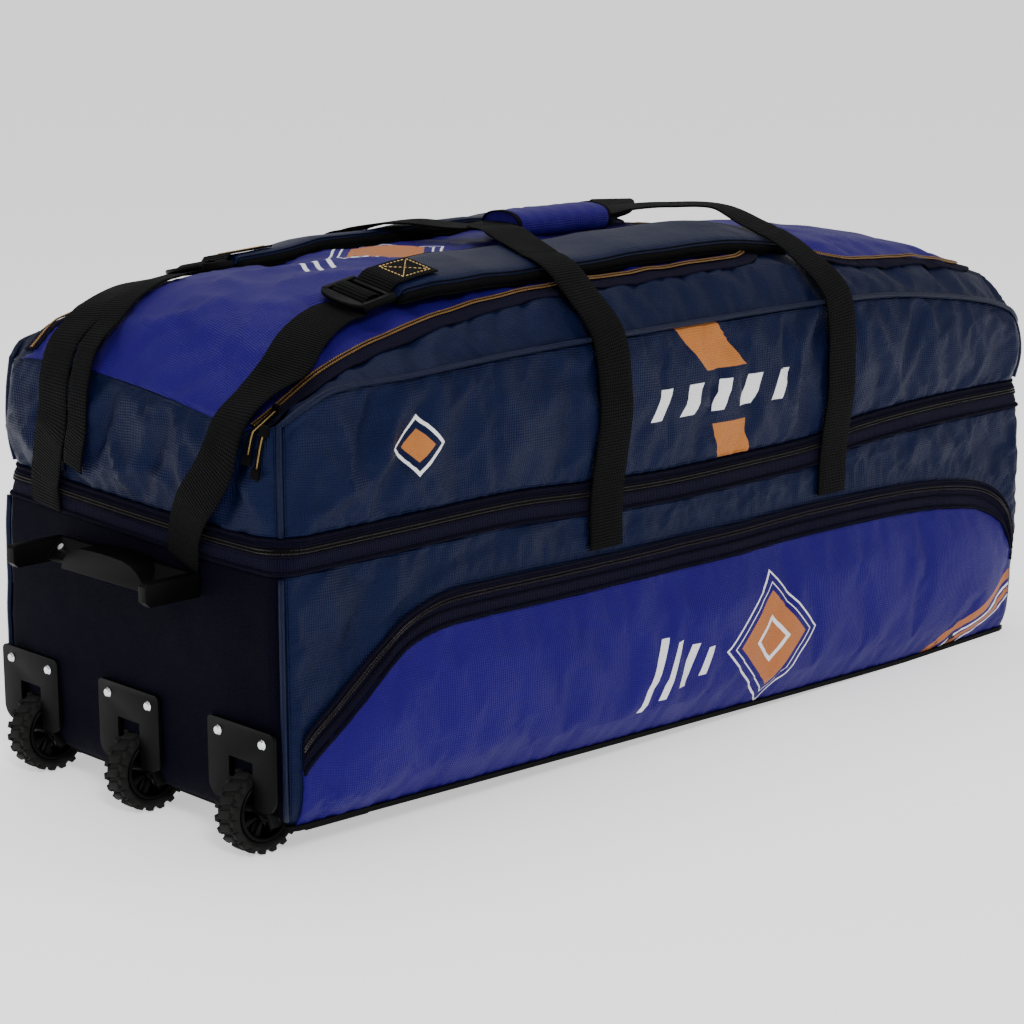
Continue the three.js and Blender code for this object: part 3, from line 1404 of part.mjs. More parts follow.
addBase();
addWalls();
addMidBand();
addTop();
addLidZips();
addPocket();
addUpperPiping('piping_front', 0);
addUpperPiping('piping_back', 2);
addCornerPiping('corner_piping_near', 0);
addCornerPiping('corner_piping_far', 3);
for (const [name, side] of [['near', -1], ['far', 1]]) {
  addPad(`shoulder_pad_${name}`, side * PAD_ACROSS);
  addPatch(`pad_patch_${name}`, `shoulder_pad_${name}`, side * PAD_ACROSS);
  addBuckle(`buckle_${name}`, side * PAD_ACROSS);
}
addShoulderWebs();
addHaulStraps();
addGripWrap();
addPulls();
for (const { name, y } of wheelRow()) {
  addBracket(name, y);
}
addWheels();
addEndHandle();

// Puts the origin on the ground under the middle of everything.
const middle = new THREE.Box3().setFromObject(bag, true).getCenter(vector(0, 0, 0));
for (const mesh of bag.children) {
  mesh.position.x -= middle.x;
  mesh.position.y -= middle.y;
}
bag.updateMatrixWorld(true);

export default bag;
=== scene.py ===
import math
from collections import namedtuple

import bmesh
import bpy
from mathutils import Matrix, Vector, noise
from mathutils.bvhtree import BVHTree


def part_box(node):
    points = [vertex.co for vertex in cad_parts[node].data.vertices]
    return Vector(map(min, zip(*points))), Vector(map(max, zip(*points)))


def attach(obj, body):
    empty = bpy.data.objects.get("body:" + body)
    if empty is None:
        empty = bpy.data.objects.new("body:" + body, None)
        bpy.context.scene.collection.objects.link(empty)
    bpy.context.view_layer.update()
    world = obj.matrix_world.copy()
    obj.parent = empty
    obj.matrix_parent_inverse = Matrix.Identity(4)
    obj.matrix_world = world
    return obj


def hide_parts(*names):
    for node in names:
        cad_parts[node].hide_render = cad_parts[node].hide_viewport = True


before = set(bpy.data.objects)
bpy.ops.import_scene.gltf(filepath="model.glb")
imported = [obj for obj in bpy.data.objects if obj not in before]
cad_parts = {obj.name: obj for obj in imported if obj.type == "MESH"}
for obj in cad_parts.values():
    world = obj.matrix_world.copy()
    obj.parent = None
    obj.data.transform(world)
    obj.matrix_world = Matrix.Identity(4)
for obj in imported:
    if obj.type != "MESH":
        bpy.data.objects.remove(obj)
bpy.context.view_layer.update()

# Sizes are in millimetres from the middle of the bag body, as the frame uses them.
BAG_LENGTH = 936
BAG_WIDTH = 352
SEAM_HEIGHT = 238
EDGE_HEIGHT = 356
CROWN_HEIGHT = 421
BASE_LIFT = 23
RAMP_START = 280
LOWER_CORNER = 14
UPPER_CORNER = 30
SHOULDER = 36
END_BOW = 5
SIDE_BOW = 3
LOWER_BULGE = 4
UPPER_BULGE = 5
BASE_ROUND = 9
BASE_TURN = 40
CLOTH = 1.6
BAND_ABOVE = 9
BAND_BELOW = 17
LID_HALF_WIDTH = 140
MAIN_LID_END = 122
MAIN_LID_CORNER = 60
END_LID_START = 192
END_LID_END = 434
END_LID_CORNER = 48
POCKET_DEPTH = 9
POCKET_HEIGHT = 175
POCKET_BAND_BELOW = 21
POCKET_BAND_ABOVE = 6
POCKET_INSET = 0.012
WEBBING = 38
WEBBING_THICKNESS = 1.8
TAIL_WIDTH = 24
PAD_WIDTH = 62
PAD_THICKNESS = 12
PAD_ACROSS = 98
PAD_START = -302
PAD_END = 168
PATCH_LENGTH = 42
BUCKLE_LENGTH = 40
BUCKLE_REACH = 25
BUCKLE_RAIL = 5
BUCKLE_HEIGHT = 7
RAIL_END = 13
LIP_START = 11
LIP_LENGTH = 10
WRAP_START = -78
WRAP_END = 42
WRAP_WIDTH = 48
WRAP_THICKNESS = 25
WRAP_HEIGHT = 431
WRAP_ACROSS = -2
HAUL_LEFT = -133
HAUL_RIGHT = 163
HAUL_FOOT = 187
STRAPS_APART = 0.75
WHEEL_RADIUS = 34
WHEEL_WIDTH = 24
RIM_RADIUS = 24.5
TREAD_DEPTH = 2.4
TREAD_BLOCKS = 19
SPOKES = 8
HANDLE_TOP = 209
PIPING_RADIUS = 2.5
PIPING_STAND = PIPING_RADIUS * 1.1
SEAT = 0.5

# How finely cloth and straps are divided, where a side's last point and the top's rim lie as
# shares, and where and from how high a strap's seat is looked for.
CLOTH_CELL = 5.0
SIDE_END = 0.99999
RIM_SHARE = 0.9999
STRAP_CELL = 4.0
STRAP_PROBES = (-0.95, -0.5, 0, 0.5, 0.95)
SEARCH = 60

# How long the cloth settles, and how far a point may move in millimetres
SETTLE_STEPS = 18
SETTLE_CAP = 6.0

# Creases pressed in: the level that stays in place, and how far from an edge they reach full depth
RIDGE_LEVEL = 0.55
CREASE_FADE = 34
UPPER_CREASES = 3.2
LOWER_CREASES = 2.4
TOP_CREASES = 2.6

# Zips on the lids
ZIP_TAPE_OUT = 12.5
ZIP_TAPE_IN = 5
ZIP_TAPE_THICKNESS = 1.5
TEETH_OUT = 0.4
TEETH_IN = 3.2

# The photograph's camera: where it stands from the bag body's middle, and how it is turned.
CAMERA_PLACE = (-1568.8, -1526.4, 662.5)
CAMERA_AZIMUTH = -44.68
CAMERA_ELEVATION = 12.79
CAMERA_LENS = 87.2

# Lamps in metres and watts: a key from the front left, a fill from the front right, one for the
# wheel end and a glow from above, all aimed at the same height over the middle
Lamp = namedtuple("Lamp", "name place size power")
LAMPS = [
    Lamp("key", (-1.9, -2.7, 2.4), 0.9, 84),
    Lamp("fill", (2.6, -2.0, 1.4), 1.4, 12),
    Lamp("end_fill", (-3.0, 0.6, 1.2), 1.2, 12),
    Lamp("top", (0.2, 0.5, 2.8), 1.6, 30),
]
LAMP_TARGET = 0.22
WORLD_LIGHT = 0.62
FLOOR_REACH = 30

HALF_LENGTH = BAG_LENGTH / 2
HALF_WIDTH = BAG_WIDTH / 2

# The bag body's middle in the frame, from the band that runs evenly round it.
band_low, band_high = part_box("mid_band")
ORIGIN = Vector(((band_low.x + band_high.x) / 2, (band_low.y + band_high.y) / 2, 0))

Edge = namedtuple("Edge", "around height")
EDGE_ROWS = [
    Edge(0.0, 0.925), Edge(0.02, 0.963), Edge(0.05, 0.988), Edge(0.12, 0.992), Edge(0.25, 1.006),
    Edge(0.4, 1.011), Edge(0.62, 1.014), Edge(0.75, 1.006), Edge(0.82, 0.989), Edge(0.92, 0.951),
    Edge(0.97, 0.915), Edge(1.0, 0.868), Edge(1.15, 0.92), Edge(1.5, 0.94), Edge(1.85, 0.92),
    Edge(2.0, 0.868), Edge(2.03, 0.915), Edge(2.08, 0.951), Edge(2.2, 0.992), Edge(2.4, 1.014),
    Edge(2.75, 1.011), Edge(2.93, 1.006), Edge(2.98, 0.985), Edge(3.0, 0.955), Edge(3.12, 0.972),
    Edge(3.35, 0.972), Edge(3.6, 0.953), Edge(3.8, 0.926), Edge(3.93, 0.905), Edge(4.0, 0.925),
]

# Heights of the top as shares of CROWN_HEIGHT; along is a share of half the length.
Top = namedtuple("Top", "along crown rim lean")
TOP_ROWS = [
    Top(-1.0, 0.845, 0.8, 0.036), Top(-0.925, 0.912, 0.838, 0.034), Top(-0.85, 0.95, 0.874, 0.028),
    Top(-0.73, 0.969, 0.9, 0.014), Top(-0.6, 0.976, 0.918, 0.004), Top(-0.41, 0.98, 0.937, 0),
    Top(0.0, 0.986, 0.95, 0), Top(0.18, 0.983, 0.947, 0), Top(0.41, 0.966, 0.922, 0),
    Top(0.65, 0.942, 0.905, 0), Top(0.81, 0.918, 0.879, 0), Top(0.9, 0.89, 0.851, 0),
    Top(1.0, 0.83, 0.81, 0),
]

Seam = namedtuple("Seam", "along sway")
SEAM_ROWS = [
    Seam(-1.0, -0.006), Seam(-0.77, -0.002), Seam(-0.5, 0.002), Seam(-0.32, -0.018), Seam(-0.12, -0.034),
    Seam(0.1, -0.032), Seam(0.31, -0.022), Seam(0.41, 0.01), Seam(0.67, 0.03), Seam(1.0, 0.026),
]
SEAM_RISE = 9

Pocket = namedtuple("Pocket", "along height")
POCKET_ROWS = [
    Pocket(-0.975, 0.44), Pocket(-0.955, 0.53), Pocket(-0.885, 0.672), Pocket(-0.8, 0.846),
    Pocket(-0.75, 0.943), Pocket(-0.685, 0.998), Pocket(-0.6, 1.01), Pocket(-0.386, 1.0),
    Pocket(0.0, 0.994), Pocket(0.27, 1.0), Pocket(0.52, 0.99), Pocket(0.75, 0.937),
    Pocket(0.875, 0.85), Pocket(0.94, 0.71), Pocket(0.965, 0.52),
]

# Creases: around and up as in the tables above, reach along the side, spread upwards, both as
# shares; slant leans the crease over, and push is how far it stands out, in millimetres.
Fold = namedtuple("Fold", "around up reach spread slant push")
FOLD_ROWS = [
    Fold(0.085, 0.9, 0.0108, 0.09, 1.4, -6), Fold(0.105, 0.88, 0.0108, 0.1, 1.5, 4.5),
    Fold(0.125, 0.86, 0.0121, 0.09, 1.6, -5.2), Fold(0.15, 0.84, 0.0162, 0.08, 1.2, 3),
    Fold(0.02, 0.82, 0.0135, 0.12, 0.6, -4.5), Fold(0.05, 0.76, 0.02, 0.05, 1.5, 3.8),
    Fold(0.6, 0.95, 0.0081, 0.05, 0.5, -4.5), Fold(0.625, 0.94, 0.0081, 0.05, 0.6, 3.8),
    Fold(0.65, 0.94, 0.0095, 0.06, 0.7, -5.2), Fold(0.7, 0.94, 0.0108, 0.05, -0.5, -4.5),
    Fold(0.74, 0.93, 0.0108, 0.05, -0.6, 3.8), Fold(0.8, 0.9, 0.0135, 0.07, 0.8, -4.5),
    Fold(0.28, 0.6, 0.04, 0.012, 0.5, 3.8), Fold(0.36, 0.585, 0.05, 0.012, -0.4, -3.8),
    Fold(0.2, 0.58, 0.03, 0.02, 1.2, -4.5), Fold(0.14, 0.5, 0.02, 0.05, 1.5, 3.8),
    Fold(0.6, 0.6, 0.05, 0.012, 0.3, -3.8), Fold(0.7, 0.61, 0.04, 0.012, -0.6, 3.8),
    Fold(0.07, 0.45, 0.0162, 0.1, 0.8, -3.8), Fold(3.2, 0.86, 0.04, 0.05, 1, -4.5),
    Fold(3.3, 0.8, 0.03, 0.07, -1.2, 4.5), Fold(3.42, 0.84, 0.03, 0.07, 1.2, -6.8),
    Fold(3.5, 0.78, 0.02, 0.06, -1.4, 5.2), Fold(3.62, 0.82, 0.03, 0.07, 1, -6),
    Fold(3.74, 0.78, 0.03, 0.08, -0.8, 5.2), Fold(3.88, 0.8, 0.03, 0.08, 0.7, -5.2),
    Fold(2.3, 0.8, 0.03, 0.1, 0.9, -4.5), Fold(2.7, 0.84, 0.03, 0.08, -1, 4.5),
    Fold(1.3, 0.75, 0.06, 0.06, 0.9, -4.5), Fold(1.6, 0.5, 0.08, 0.1, -0.9, -4.5),
    Fold(2.5, 0.35, 0.04, 0.12, 1, -4.5), Fold(2.8, 0.4, 0.03, 0.12, -0.8, 3.8),
]

SIDES = [((1, 0), (0, -1), True), ((0, 1), (1, 0), False), ((-1, 0), (0, 1), True), ((0, -1), (-1, 0), False)]


def mix(a, b, t):
    return a + (b - a) * t


def smooth(t):
    held = min(1, max(0, t))
    return held * held * (3 - 2 * held)


def read_rows(rows, key, at, column):
    """Reads one column of a table with a smooth curve through its rows."""
    last = len(rows) - 1
    place = min(getattr(rows[last], key), max(getattr(rows[0], key), at))
    after = max(1, next(i for i, row in enumerate(rows) if getattr(row, key) >= place - 1e-12))

    def slope(i):
        low, high = rows[max(0, i - 1)], rows[min(last, i + 1)]
        return (getattr(high, column) - getattr(low, column)) / (getattr(high, key) - getattr(low, key))

    start, end = rows[after - 1], rows[after]
    span = getattr(end, key) - getattr(start, key)
    rise = getattr(end, column) - getattr(start, column)
    t = (place - getattr(start, key)) / span
    pull = (slope(after - 1) * span - rise) * (1 - t) - (slope(after) * span - rise) * t
    return mix(getattr(start, column), getattr(end, column), t) + t * (1 - t) * pull


# The bag's surface


def plan_point(around, radius):
    """A point of the plan outline and its outward direction, around counted in sides."""
    index = min(3, int(around))
    along_axis, out_axis, is_long = SIDES[index]
    half, reach = (HALF_LENGTH, HALF_WIDTH) if is_long else (HALF_WIDTH, HALF_LENGTH)
    arc = radius * math.pi / 4
    straight = 2 * (half - radius)
    run = (around - index) * (straight + 2 * arc)
    turn = 0
    along = run - arc - half + radius
    if run < arc:
        turn = run / radius - math.pi / 4
        along = -(half - radius) + radius * math.sin(turn)
    elif run > arc + straight:
        turn = (run - arc - straight) / radius
        along = half - radius + radius * math.sin(turn)
    farthest = half - radius + radius * math.sqrt(0.5)
    bow = (SIDE_BOW if is_long else END_BOW) * (1 - (along / farthest) ** 2)
    out = reach - radius + radius * math.cos(turn) + bow
    spot = Vector((along_axis[0] * along + out_axis[0] * out, along_axis[1] * along + out_axis[1] * out))
    away = Vector((
        along_axis[0] * math.sin(turn) + out_axis[0] * math.cos(turn),
        along_axis[1] * math.sin(turn) + out_axis[1] * math.cos(turn), 0,
    ))
    return spot, away


def around_of(x, y):
    """The place round the outline nearest to a plan point, counted in sides."""
    flat_x, flat_y = HALF_LENGTH - UPPER_CORNER, HALF_WIDTH - UPPER_CORNER
    arc = UPPER_CORNER * math.pi / 4
    over_x, over_y = abs(x) - flat_x, abs(y) - flat_y
    on_long = over_y - over_x > 0
    half = HALF_LENGTH if on_long else HALF_WIDTH
    along = (x if y < 0 else -x) if on_long else (y if x > 0 else -y)
    run = along + half - UPPER_CORNER + arc
    if over_x > 0 and over_y > 0:
        turn = math.atan2(over_x, over_y) if on_long else math.atan2(over_y, over_x)
        if along < 0:
            run = arc - turn * UPPER_CORNER
        else:
            run = 2 * (half - UPPER_CORNER) + arc + turn * UPPER_CORNER
    index = (0 if y < 0 else 2) if on_long else (1 if x > 0 else 3)
    return index + min(SIDE_END, max(0, run / (2 * (half - UPPER_CORNER) + 2 * arc)))


def base_height(x):
    return BASE_LIFT * max(0, RAMP_START - x) / (RAMP_START + HALF_LENGTH)


def seam_height(x, y):
    sway = read_rows(SEAM_ROWS, "along", x / HALF_LENGTH, "sway")
    rise = SEAM_RISE * smooth(0.5 + y / BAG_WIDTH) * max(0, -x / HALF_LENGTH)
    return SEAM_HEIGHT * (1 + sway) + rise


def edge_height(around):
    return EDGE_HEIGHT * read_rows(EDGE_ROWS, "around", around, "height")


def fold_push(around, z, fade):
    push = 0
    for fold in FOLD_ROWS:
        up = (z / EDGE_HEIGHT - fold.up) / fold.spread
        side = (around - fold.around) / fold.reach - fold.slant * up
        spot = side * side + up * up
        if spot < 12:
            push += fold.push * math.exp(-spot)
    return push * smooth(fade / 0.16)


def ripple(point, fade):
    """Slack in the cloth: broad swells with finer wrinkles on them."""
    broad = noise.noise(point * 0.011)
    fine = noise.noise(point * 0.035 + Vector((9, 4, 2)))
    return (2.4 * broad + 0.9 * fine) * smooth(fade / 0.2)


def wall_point(around, z):
    """A point of the walls' outer face and its outward direction."""
    spot, away = plan_point(around, UPPER_CORNER)
    base = base_height(spot.x)
    seam = seam_height(spot.x, spot.y)
    lower = (z - base) / (seam - BAND_BELOW - base)
    upper = (z - seam - BAND_ABOVE) / (edge_height(around) - seam - BAND_ABOVE)
    blend = smooth((z - seam + BAND_BELOW) / (BAND_ABOVE + BAND_BELOW))
    spot, away = plan_point(around, mix(LOWER_CORNER, UPPER_CORNER, blend))
    out = 0
    at = Vector((spot.x, spot.y, z))
    if upper > 0:
        out = UPPER_BULGE * math.sin(math.pi * min(1, upper))
        fade = min(upper, 1 - upper)
        out += fold_push(around, z, fade) + ripple(at, fade)
    elif lower < 1:
        tuck = max(0, 1 - (z - base) / BASE_TURN)
        out = LOWER_BULGE * math.sin(math.pi * max(0, lower)) - BASE_ROUND * tuck ** 3
        fade = min(lower, 1 - lower)
        out += fold_push(around, z, fade) + ripple(at, fade)
    return at + away * out, away


def crown_height(x, y):
    along = x / HALF_LENGTH
    across = y / LID_HALF_WIDTH
    crown = read_rows(TOP_ROWS, "along", along, "crown")
    rim = read_rows(TOP_ROWS, "along", along, "rim")
    lean = read_rows(TOP_ROWS, "along", along, "lean")
    return CROWN_HEIGHT * (crown + (rim - crown) * min(1.1, across ** 2) + lean * across)


def outline_inset(x, y):
    """How far a plan point lies inside the outline."""
    bow_y = SIDE_BOW * (1 - (x / HALF_LENGTH) ** 2)
    bow_x = END_BOW * (1 - (y / HALF_WIDTH) ** 2)
    over_x = abs(x) - (HALF_LENGTH + bow_x - UPPER_CORNER)
    over_y = abs(y) - (HALF_WIDTH + bow_y - UPPER_CORNER)
    outside = math.hypot(max(over_x, 0), max(over_y, 0))
    return UPPER_CORNER - outside - min(max(over_x, over_y), 0)


def top_height(x, y):
    inset = outline_inset(x, y)
    edge = edge_height(around_of(x, y))
    crown = crown_height(x, y)
    share = min(1, max(0, inset / SHOULDER))
    rise = math.sin(math.pi / 2 * share) if crown > edge else smooth(share)
    slack = ripple(Vector((x, y, 400)), min(1, inset / 120)) * 1.3
    return mix(edge, crown, rise) + slack


# Node trees


class Shader:
    """Builds one material's nodes."""

    def __init__(self, name, gloss=0.5):
        self.material = bpy.data.materials.new(name)
        self.material.use_nodes = True
        self.tree = self.material.node_tree
        self.surface = self.tree.nodes["Principled BSDF"]
        self.surface.inputs["Specular IOR Level"].default_value = gloss

    def node(self, kind, **settings):
        made = self.tree.nodes.new(kind)
        for key, value in settings.items():
            setattr(made, key, value)
        return made

    def feed(self, socket, value):
        if isinstance(value, bpy.types.NodeSocket):
            self.tree.links.new(value, socket)
        else:
            socket.default_value = value

    def set(self, name, value):
        """Gives one of the surface's inputs a value or a link."""
        self.feed(self.surface.inputs[name], value)

    def math(self, operation, a, b=0.0):
        made = self.node("ShaderNodeMath", operation=operation)
        self.feed(made.inputs[0], a)
        self.feed(made.inputs[1], b)
        return made.outputs[0]

    def axes(self, kind):
        source = self.node("ShaderNodeTexCoord").outputs[kind]
        split = self.node("ShaderNodeSeparateXYZ")
        self.feed(split.inputs[0], source)
        return source, split.outputs

    def noise(self, source, scale, detail=3.0):
        made = self.node("ShaderNodeTexNoise")
        self.feed(made.inputs["Vector"], source)
        made.inputs["Scale"].default_value = scale
        made.inputs["Detail"].default_value = detail
        return made.outputs["Fac"]

    def creases(self, source):
        """Sharp ridges that run a hand's width, as in crumpled coated cloth."""
        made = self.node("ShaderNodeTexNoise", noise_type="RIDGED_MULTIFRACTAL")
        self.feed(made.inputs["Vector"], source)
        made.inputs["Scale"].default_value = 11.0
        made.inputs["Detail"].default_value = 2.0
        made.inputs["Distortion"].default_value = 0.6
        return made.outputs["Fac"]

    def blend(self, factor, low, high):
        made = self.node("ShaderNodeMix", data_type="RGBA")
        self.feed(made.inputs["Factor"], factor)
        self.feed(made.inputs["A"], low)
        self.feed(made.inputs["B"], high)
        return made.outputs["Result"]

    def between(self, value, low, high):
        made = self.node("ShaderNodeMapRange")
        self.feed(made.inputs["Value"], value)
        made.inputs["From Min"].default_value = 0.0
        made.inputs["From Max"].default_value = 1.0
        made.inputs["To Min"].default_value = low
        made.inputs["To Max"].default_value = high
        return made.outputs["Result"]

    def wave(self, value, period):
        return self.math("SINE", self.math("MULTIPLY", value, 2 * math.pi / period))

    def bump(self, height, distance, normal=None):
        made = self.node("ShaderNodeBump")
        made.inputs["Distance"].default_value = distance
        self.feed(made.inputs["Height"], height)
        if normal is not None:
            self.feed(made.inputs["Normal"], normal)
        return made.outputs["Normal"]


def rgb(red, green, blue):
    """A colour from 0 to 255 as the eye sees it, for a socket."""
    levels = [((c / 255 + 0.055) / 1.055) ** 2.4 if c > 10 else c / 3295 for c in (red, green, blue)]
    return (*levels, 1)


def scaled(colour, share):
    return tuple(c * share for c in colour[:3]) + (1,)


def glint(colour):
    """The colour of light off coated cloth: its own hue, paler."""
    return tuple(mix(c / max(colour[:3]), 1, 0.26) for c in colour[:3]) + (1,)


def weave_height(shader, uv, period):
    """A diamond weave from two slanted waves, from -1 to 1."""
    diagonal = shader.math("ADD", uv[0], uv[1])
    other = shader.math("SUBTRACT", uv[0], uv[1])
    return shader.math("MULTIPLY", shader.wave(diagonal, period), shader.wave(other, period))


def cloth_look(
    name, colour, period=0.0042, contrast=0.16, rough=(0.28, 0.44), sheen=0.02, crease=0.012, gloss=0.15,
    artwork=None,
):
    """Coated woven nylon with a diamond weave, slight fading and fine grain."""
    shader = Shader(name, gloss)
    _, uv = shader.axes("UV")
    place, spot = shader.axes("Object")
    weave = weave_height(shader, uv, period)
    share = shader.between(weave, 0.5, 0.5 + contrast)
    cloudy = shader.noise(place, 9.0)
    grain = shader.noise(place, 900.0, 2.0)
    base = colour
    if artwork is not None:
        base = artwork(shader, spot, colour)
    light = shader.node("ShaderNodeMix", data_type="RGBA", blend_type="SCREEN")
    shader.feed(light.inputs["Factor"], share)
    shader.feed(light.inputs["A"], base)
    light.inputs["B"].default_value = scaled(colour, 0.35)
    shade = shader.node("ShaderNodeMix", data_type="RGBA", blend_type="MULTIPLY")
    shader.feed(shade.inputs["Factor"], shader.between(cloudy, 0.0, 0.5))
    shader.feed(shade.inputs["A"], light.outputs["Result"])
    shade.inputs["B"].default_value = (0.68, 0.68, 0.72, 1)
    shader.set("Base Color", shade.outputs["Result"])
    shader.set("Roughness", shader.between(shader.math("ADD", cloudy, grain), rough[0], rough[1]))
    shader.set("Specular Tint", glint(colour))
    shader.set("Sheen Weight", sheen)
    shader.set("Sheen Roughness", 0.4)
    shader.set("Sheen Tint", scaled(colour, 2.0))
    crinkle = shader.bump(shader.noise(place, 55.0, 4.0), 0.0016, shader.bump(shader.creases(place), crease))
    shader.set("Normal", shader.bump(weave, 0.00022, crinkle))
    return shader.material


def webbing_look(name, colour, rib=0.0026, gloss=0.55):
    """Woven webbing: ribs across, a twill along, and slightly fuzzy edges."""
    shader = Shader(name, 0.04)
    _, uv = shader.axes("UV")
    place, _ = shader.axes("Object")
    across = shader.wave(uv[0], rib)
    threads = shader.wave(uv[1], rib * 0.8)
    height = shader.math("ADD", across, shader.math("MULTIPLY", threads, 0.45))
    # Painted highlight and shade: the tops of the ribs are painted lighter and the grooves between them
    # darker
    lit = shader.between(across, 0.0, 0.8)
    tint = shader.blend(lit, scaled(colour, 0.55), scaled(colour, 1.9))
    worn = shader.noise(place, 30.0)
    shader.set("Base Color", shader.blend(shader.between(worn, 0.0, 0.35), tint, scaled(colour, 2.2)))
    shader.set("Roughness", shader.between(worn, gloss, gloss + 0.25))
    shader.set("Sheen Weight", 0.01)
    shader.set("Normal", shader.bump(height, 0.0005))
    return shader.material


def plastic_look(name, colour, rough=(0.34, 0.5), grain=1400.0):
    """Moulded plastic with a fine spark finish and faint scuffs."""
    shader = Shader(name, 0.05)
    place, _ = shader.axes("Object")
    scuff = shader.noise(place, 60.0, 6.0)
    shader.set("Base Color", shader.blend(scuff, scaled(colour, 0.85), scaled(colour, 1.35)))
    shader.set("Roughness", shader.between(scuff, rough[0], rough[1]))
    shader.set("Normal", shader.bump(shader.noise(place, grain, 2.0), 0.00008))
    return shader.material


def metal_look(name, colour, rough):
    """Plated metal with fine polishing marks."""
    shader = Shader(name)
    place, _ = shader.axes("Object")
    marks = shader.noise(place, 420.0, 3.0)
    shader.set("Metallic", 1.0)
    shader.set("Base Color", shader.blend(marks, scaled(colour, 0.86), colour))
    shader.set("Roughness", shader.between(marks, rough, rough + 0.14))
    shader.set("Normal", shader.bump(marks, 0.00003))
    return shader.material


def rubber_look(name, colour):
    """Tyre rubber, dusty in the low places."""
    shader = Shader(name, 0.12)
    place, _ = shader.axes("Object")
    dust = shader.noise(place, 90.0, 5.0)
    shader.set("Base Color", shader.blend(shader.between(dust, 0.0, 0.6), colour, rgb(34, 33, 32)))
    shader.set("Roughness", shader.between(dust, 0.62, 0.9))
    shader.set("Normal", shader.bump(dust, 0.0002))
    return shader.material


def coil_look(name, colour, pitch=0.0022):
    """A zip coil: teeth across and a dark line down the middle."""
    shader = Shader(name)
    _, uv = shader.axes("UV")
    teeth = shader.wave(uv[0], pitch)
    # Painted shade: the coil is darkened in the gaps between its teeth and keeps its full colour on their
    # tops
    lit = shader.between(teeth, 0.25, 1.0)
    shader.set("Base Color", shader.blend(lit, scaled(colour, 0.25), colour))
    shader.set("Roughness", 0.38)
    shader.set("Metallic", 0.35)
    shader.set("Normal", shader.bump(teeth, 0.0004))
    return shader.material


def thread_look(name, colour):
    """Twisted sewing thread."""
    shader = Shader(name)
    place, _ = shader.axes("Object")
    twist = shader.noise(place, 1500.0, 2.0)
    shader.set("Base Color", shader.blend(twist, scaled(colour, 0.7), colour))
    shader.set("Roughness", 0.7)
    shader.set("Normal", shader.bump(twist, 0.0001))
    return shader.material


# Printed stripes and diamonds, drawn by place on the front

GOLD = rgb(168, 104, 44)
WHITE = rgb(226, 226, 228)
NAVY = rgb(7, 13, 36)
ROYAL = rgb(25, 10, 86)


def offsets_from(shader, spot, x, level, axis):
    """How far a point lies from a print's middle, along the bag and along the other axis."""
    across = shader.math("SUBTRACT", spot[0], x / 1000 + ORIGIN.x)
    up = shader.math("SUBTRACT", spot[axis], level / 1000 + ORIGIN[axis])
    return across, up


def inside(shader, value, limit):
    """1 where the value is under the limit, with a soft edge half a millimetre wide."""
    soft = shader.math("DIVIDE", shader.math("SUBTRACT", limit, value), 0.0005)
    return shader.math("MINIMUM", shader.math("MAXIMUM", soft, 0.0), 1.0)


def bar_mask(shader, spot, x, level, half_width, half_height, lean, axis=2):
    """A slanted bar round a place on the front or, with axis 1, on the lid."""
    across, up = offsets_from(shader, spot, x, level, axis)
    slid = shader.math("ABSOLUTE", shader.math("SUBTRACT", across, shader.math("MULTIPLY", up, lean)))
    wide = inside(shader, slid, half_width / 1000)
    tall = inside(shader, shader.math("ABSOLUTE", up), half_height / 1000)
    return shader.math("MULTIPLY", wide, tall)


def diamond_mask(shader, spot, x, level, reach, hole=0.0, axis=2):
    """A diamond round a place on the front or, with axis 1, on the lid; hole leaves its middle out."""
    across, up = offsets_from(shader, spot, x, level, axis)
    spread = shader.math("ADD", shader.math("ABSOLUTE", across), shader.math("ABSOLUTE", up))
    mask = inside(shader, spread, reach / 1000)
    if hole > 0:
        mask = shader.math("SUBTRACT", mask, inside(shader, spread, hole / 1000))
    return mask


def painted(shader, base, prints):
    """Lays prints, each a mask and a colour, over a base colour."""
    result = base
    for mask, colour in prints:
        result = shader.blend(mask, result, colour)
    return result


def upper_art(shader, spot, base):
    prints = [
        (bar_mask(shader, spot, -8, 340, 26, 21, -0.9), GOLD),
        (bar_mask(shader, spot, 22, 257, 21, 16, -0.4), GOLD),
    ]
    for step in range(5):
        prints.append((bar_mask(shader, spot, -72 + 38 * step, 297, 7 + 2 * (step % 2), 13, 0.5), WHITE))
    prints.append((diamond_mask(shader, spot, -338, 300, 24, 20), WHITE))
    prints.append((diamond_mask(shader, spot, -338, 300, 13), GOLD))
    return painted(shader, base, prints)


def pocket_art(shader, spot, base):
    prints = [
        (diamond_mask(shader, spot, 70, 72, 62, 59.5), WHITE),
        (diamond_mask(shader, spot, 70, 72, 52, 50.5), WHITE),
        (diamond_mask(shader, spot, 70, 72, 44), GOLD),
        (diamond_mask(shader, spot, 70, 72, 22, 17), WHITE),
    ]
    for step in range(4):
        prints.append((bar_mask(shader, spot, -84 + 22 * step, 70, 4.5, 30 - 6 * step, 0.45), WHITE))
    for offset, half, colour in [(0, 11, GOLD), (24, 3.5, WHITE), (37, 6, GOLD), (50, 2.5, WHITE)]:
        prints.append((bar_mask(shader, spot, 385 + offset, 30, half, 90, 2.2), colour))
    return painted(shader, base, prints)


def lid_art(shader, spot, base):
    prints = [
        (diamond_mask(shader, spot, -200, 6, 66, 63, axis=1), WHITE),
        (diamond_mask(shader, spot, -200, 6, 56, 53.5, axis=1), WHITE),
        (diamond_mask(shader, spot, -200, 6, 44, axis=1), GOLD),
    ]
    for step in range(3):
        prints.append((bar_mask(shader, spot, -298 + 13 * step, -6, 2.5, 15, 0.5, axis=1), WHITE))
    return painted(shader, base, prints)


ROYAL_WEAVE = {"contrast": 0.12, "rough": (0.3, 0.46)}

